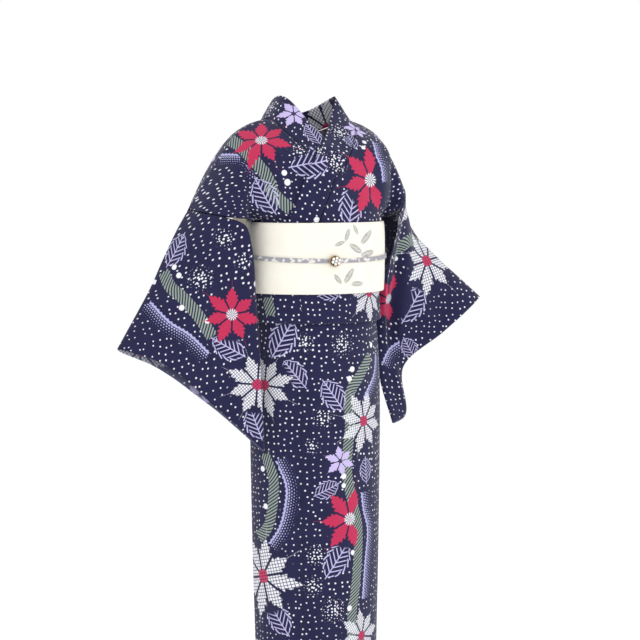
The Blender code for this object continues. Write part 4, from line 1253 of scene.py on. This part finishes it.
loop = curve_through(DRUM_LOOP, 110)
widths = np.linspace(-DRUM_HALF_WIDTH, DRUM_HALF_WIDTH, 44)
degrees = 180.0 - np.degrees(np.arcsin(widths / DRUM_SPREAD))
rows = []
for height, outer_share, swell in loop:
    level = max(min(height, OBI_TOP), OBI_BOTTOM)
    near = on_form(OBI_FORM, degrees, level, OBI_CLOTH + DRUM_OUT)[:, 1]
    near = near + DRUM_EASE * (widths / DRUM_HALF_WIDTH) ** 2
    flat_face = DRUM_DEPTH - DRUM_CURVE * (widths / DRUM_HALF_WIDTH) ** 2
    ripple = 0.0012 * np.sin(widths * 34.0 + height * 22.0) * outer_share
    rows.append(np.stack([widths, near + max(0.0, outer_share) * (flat_face - near) + swell + ripple,
                          np.full(len(widths), height)], axis=-1))
drum = np.array(rows)
drum[-1] = drum[0]
drum_facing = facing_of(drum, drum.mean(axis=0))
back_sprig = [motif_frame(figure, drum[spot, place], drum_facing[spot, place], reach, degrees_round)
              for figure, spot, place, reach, degrees_round in (
                  ("leaf", 66, 30, 0.022, 30), ("leaf", 60, 26, 0.018, 140),
                  ("leaf", 70, 24, 0.020, 80), ("spot", 64, 28, 0.004, 0),
                  ("spot", 67, 26, 0.004, 0), ("leaf", 58, 32, 0.016, 0))]
item = cloth_piece("obi_drum_cloth", drum, drum_facing, (woven_ivory,), DOUBLED, back_sprig)
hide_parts("obi_drum")

tail = on_form(OBI_FORM, np.linspace(*TAIL_ENDS, 90)[None, :],
               np.linspace(*TAIL_HEIGHTS, 14)[:, None], OBI_CLOTH + TAIL_OUT)
tail_facing = facing_of(tail, np.array([0.0, 0.0, -0.29]))
item = cloth_piece("obi_tail_cloth", tail, tail_facing, (woven_ivory,), DOUBLED)
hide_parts("obi_tail")


# The cord: a flat plait of silk in two greys that holds the drum's knot. It goes once round the
# sash and through the drum; its ends are tucked in. The plait's strands are set one by one.
CORD_HEIGHT = -0.2885
CORD_DIP = 0.0075
CORD_OUT = 0.0018
CORD_OVER_TAIL = 0.0088
CORD_RISE_FROM = 84.0            # degrees from the front, where it begins to climb over the tail
CORD_RISE_RUN = 16.0
CORD_RADIUS = 0.134
CORD_SECTION = (
    # rise, out
    (-0.0040, -0.0010), (0.0040, -0.0010), (0.0045, 0.0), (0.0040, 0.0008), (0.0, 0.0010),
    (-0.0040, 0.0008), (-0.0045, 0.0), (-0.0040, -0.0010),
)
CORD_GREY, CORD_CREAM = (0.34, 0.33, 0.38), (0.74, 0.72, 0.69)
STRAND = (0.0024, 0.0011, 0.0008)    # half length, half width and half thickness of one strand
STRAND_SLANT = 0.75
PLAIT_STEP = 0.0034
PLAIT_ROWS = (-0.0030, 0.0, 0.0030)
PLAIT_SHIFT = 1.2                # degrees from one row of strands to the next



def own_place(tree):
    return tree.nodes.new("ShaderNodeTexCoord").outputs["Object"]


def cord_out(degrees):
    """How far the cord's middle stands off the sash's form: over the tail at the back."""
    own = np.abs((degrees + 180.0) % 360.0 - 180.0)
    return OBI_CLOTH + CORD_OUT + CORD_OVER_TAIL * ease((own - CORD_RISE_FROM) / CORD_RISE_RUN)


def cord_level(degrees):
    """Height of the cord's middle, lowest at the front."""
    return CORD_HEIGHT - CORD_DIP * np.maximum(0.0, np.cos(np.radians(degrees)))


def strewn(name, places, turns, blank, material):
    """One plain mesh of a small blank repeated at places, each turned as its own angles say."""
    tree, asked, put_out = new_group(f"{name}_repeat", "GeometryNodeTree",
                                     (("Geometry", "Geometry"), ("Size", "Float")),
                                     (("Geometry", "Geometry"),))
    turned = tree.nodes.new("GeometryNodeInputNamedAttribute")
    turned.data_type = "FLOAT_VECTOR"
    turned.inputs["Name"].default_value = "turns"
    shape = tree.nodes.new("GeometryNodeObjectInfo")
    shape.inputs["Object"].default_value = blank
    repeat = tree.nodes.new("GeometryNodeInstanceOnPoints")
    whole = tree.nodes.new("GeometryNodeRealizeInstances")
    finish = tree.nodes.new("GeometryNodeSetMaterial")
    finish.inputs["Material"].default_value = material
    for start, end in ((asked["Geometry"], repeat.inputs["Points"]),
                       (shape.outputs["Geometry"], repeat.inputs["Instance"]),
                       (turned.outputs["Attribute"], repeat.inputs["Rotation"]),
                       (asked["Size"], repeat.inputs["Scale"]),
                       (repeat.outputs["Instances"], whole.inputs["Geometry"]),
                       (whole.outputs["Geometry"], finish.inputs["Geometry"])):
        tree.links.new(start, end)
    put_out(Geometry=finish.outputs["Geometry"])
    mesh = bpy.data.meshes.new(name)
    mesh.from_pydata([tuple(place) for place in places], [], [])
    mesh.attributes.new("turns", "FLOAT_VECTOR", "POINT").data.foreach_set("vector", np.ravel(turns))
    item = put_in(mesh)
    repeated = item.modifiers.new("repeat", "NODES")
    repeated.node_group = tree
    repeated[asked["Size"].identifier] = 1.0
    kept_as_shaped(item).shade_smooth()
    return item


def blank_of(name, shape):
    """A small item kept out of the picture, as the pattern of a repeated piece."""
    return bpy.data.objects.new(name, mesh_of(name, shape))


silk, tree, shader = new_material("plaited_silk", {"Roughness": 0.45, "Sheen Weight": 0.3})
flecks = formula(tree)("GREATER_THAN", noise(tree, own_place(tree), 80.0, 1.0), 0.57)
tree.links.new(mixed(tree, flecks, CORD_GREY, CORD_CREAM), shader.inputs["Base Color"])

degrees = np.linspace(0.0, 360.0, 241)
core = np.array([on_form(OBI_FORM, degrees, cord_level(degrees), cord_out(degrees) + out)
                 + np.array([0.0, 0.0, rise]) for rise, out in CORD_SECTION])
core[:, -1] = core[:, 0]
mesh = bpy.data.meshes.new("cord_core")
mesh.from_pydata(core.reshape(-1, 3).tolist(), [], quads_between(*core.shape[:2]).tolist())
shape = bmesh.new()
shape.from_mesh(mesh)
bmesh.ops.remove_doubles(shape, verts=shape.verts, dist=MERGED)
bmesh.ops.recalc_face_normals(shape, faces=shape.faces)
shape.to_mesh(mesh)
shape.free()
mesh.materials.append(silk)
mesh.shade_smooth()
cord_core = put_in(mesh)
strand = bmesh.new()
bmesh.ops.create_uvsphere(strand, u_segments=8, v_segments=4, radius=1.0)
for vert in strand.verts:
    vert.co = [vert.co[k] * STRAND[k] for k in range(3)]
blank = blank_of("strand_blank", strand)
round_length = 2 * math.pi * CORD_RADIUS
places, turns = [], []
for row, rise in enumerate(PLAIT_ROWS):
    for own in np.arange(0.0, 360.0, 360.0 * PLAIT_STEP / round_length) + PLAIT_SHIFT * row:
        out = float(cord_out(own))
        on_face = on_form(OBI_FORM, own, cord_level(own), out + STRAND[2])
        outward = on_face - on_form(OBI_FORM, own, cord_level(own), out)
        places.append(on_face + np.array([0.0, 0.0, rise]))
        turns.append((math.pi / 2, STRAND_SLANT if row % 2 else -STRAND_SLANT,
                      math.atan2(outward[1], outward[0]) + math.pi / 2))
plait = strewn("cord_plait", places, turns, blank, silk)
for item in (cord_core, plait):
    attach(item, "root")
    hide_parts("obi_cord")


# The cord's ornament: an oval of tarnished gilt bronze with a raised rim, threaded on the cord, and
# seven pearls in small cups on its face.
ORNAMENT_ANGLE = -5.0
ORNAMENT_WIDTH = 0.027
ORNAMENT_TALL = 0.023
ORNAMENT_DEPTH = 0.004
ORNAMENT_OUT = 0.0041
ORNAMENT_ROUND = 48
GILT, TARNISH = (0.62, 0.45, 0.20), (0.16, 0.10, 0.045)
NACRE_ROSE, NACRE_BLUE = (0.88, 0.84, 0.80), (0.80, 0.83, 0.86)
PEARL_RADIUS = 0.0031
PEARL_RING = (0.0078, 0.0064)
PEARL_TURN = 0.3
PEARL_CLEAR = 0.0003
CUP = {"radius1": 0.0028, "radius2": 0.0021, "depth": 0.0022}
CUP_OUT = 0.0006
ORNAMENT_PROFILE = (
    # share of the radius, share of the depth towards the front
    (0.0, 0.34), (0.40, 0.34), (0.74, 0.26), (0.80, 0.30), (0.86, 0.48), (0.92, 0.50), (0.98, 0.34),
    (1.0, 0.10), (0.98, -0.34), (0.90, -0.50), (0.0, -0.50),
)


gilt, tree, shader = new_material("gilt_bronze", {"Metallic": 1.0})
tarnish = noise(tree, own_place(tree), 420.0, 4.0)
tree.links.new(mixed(tree, tarnish, GILT, TARNISH), shader.inputs["Base Color"])
tree.links.new(formula(tree)("MULTIPLY_ADD", tarnish, 0.25, 0.22), shader.inputs["Roughness"])
nacre, tree, shader = new_material("nacre", {"Roughness": 0.18, "Coat Weight": 0.6})
lustre = mixed(tree, noise(tree, own_place(tree), 260.0), NACRE_ROSE, NACRE_BLUE)
tree.links.new(lustre, shader.inputs["Base Color"])

height = CORD_HEIGHT - CORD_DIP
seat = on_form(OBI_FORM, ORNAMENT_ANGLE, height, OBI_CLOTH + ORNAMENT_OUT + ORNAMENT_DEPTH / 2)
plate = bmesh.new()
rings = []
for radius, depth in ORNAMENT_PROFILE:
    ring = []
    for angle in np.linspace(0, 2 * math.pi, ORNAMENT_ROUND, endpoint=False):
        lobe = 1.0 + 0.02 * math.cos(12 * angle) * (radius > 0.8)
        ring.append(plate.verts.new((seat[0] + radius * lobe * ORNAMENT_WIDTH / 2 * math.cos(angle),
                                     seat[1] - depth * ORNAMENT_DEPTH,
                                     seat[2] + radius * lobe * ORNAMENT_TALL / 2 * math.sin(angle))))
    rings.append(ring)
for ring, following in zip(rings, rings[1:]):
    for k in range(ORNAMENT_ROUND):
        n = (k + 1) % ORNAMENT_ROUND
        plate.faces.new((ring[k], ring[n], following[n], following[k]))
bmesh.ops.remove_doubles(plate, verts=plate.verts, dist=MERGED)
bmesh.ops.recalc_face_normals(plate, faces=plate.faces)
oval = put_in(mesh_of("ornament_oval", plate, gilt, smooth=True))
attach(oval, "root")
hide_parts("ornament_plate")

face = seat[1] - ORNAMENT_DEPTH / 2
beads = [(0.0, 0.0)] + [(PEARL_RING[0] * math.cos(a), PEARL_RING[1] * math.sin(a))
                        for a in np.linspace(PEARL_TURN, PEARL_TURN + 2 * math.pi, 6, endpoint=False)]
bead_places = [(seat[0] + x, face - PEARL_RADIUS - PEARL_CLEAR, seat[2] + z) for x, z in beads]
for number, place in enumerate(bead_places):
    bead = bmesh.new()
    bmesh.ops.create_uvsphere(bead, u_segments=24, v_segments=16, radius=PEARL_RADIUS)
    for vert in bead.verts:
        vert.co = [vert.co[k] + place[k] for k in range(3)]
    item = put_in(mesh_of(f"pearl_bead_{number + 1}", bead, nacre, smooth=True))
    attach(item, "root")
    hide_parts(f"pearl_{number + 1}")
claw = bmesh.new()
bmesh.ops.create_cone(claw, cap_ends=True, segments=14, **CUP)
claws = strewn("pearl_cups", [(x, face - CUP_OUT, z) for x, _, z in bead_places],
               [(-math.pi / 2, 0.0, 0.0)] * len(bead_places), blank_of("cup_blank", claw), gilt)
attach(claws, "root")
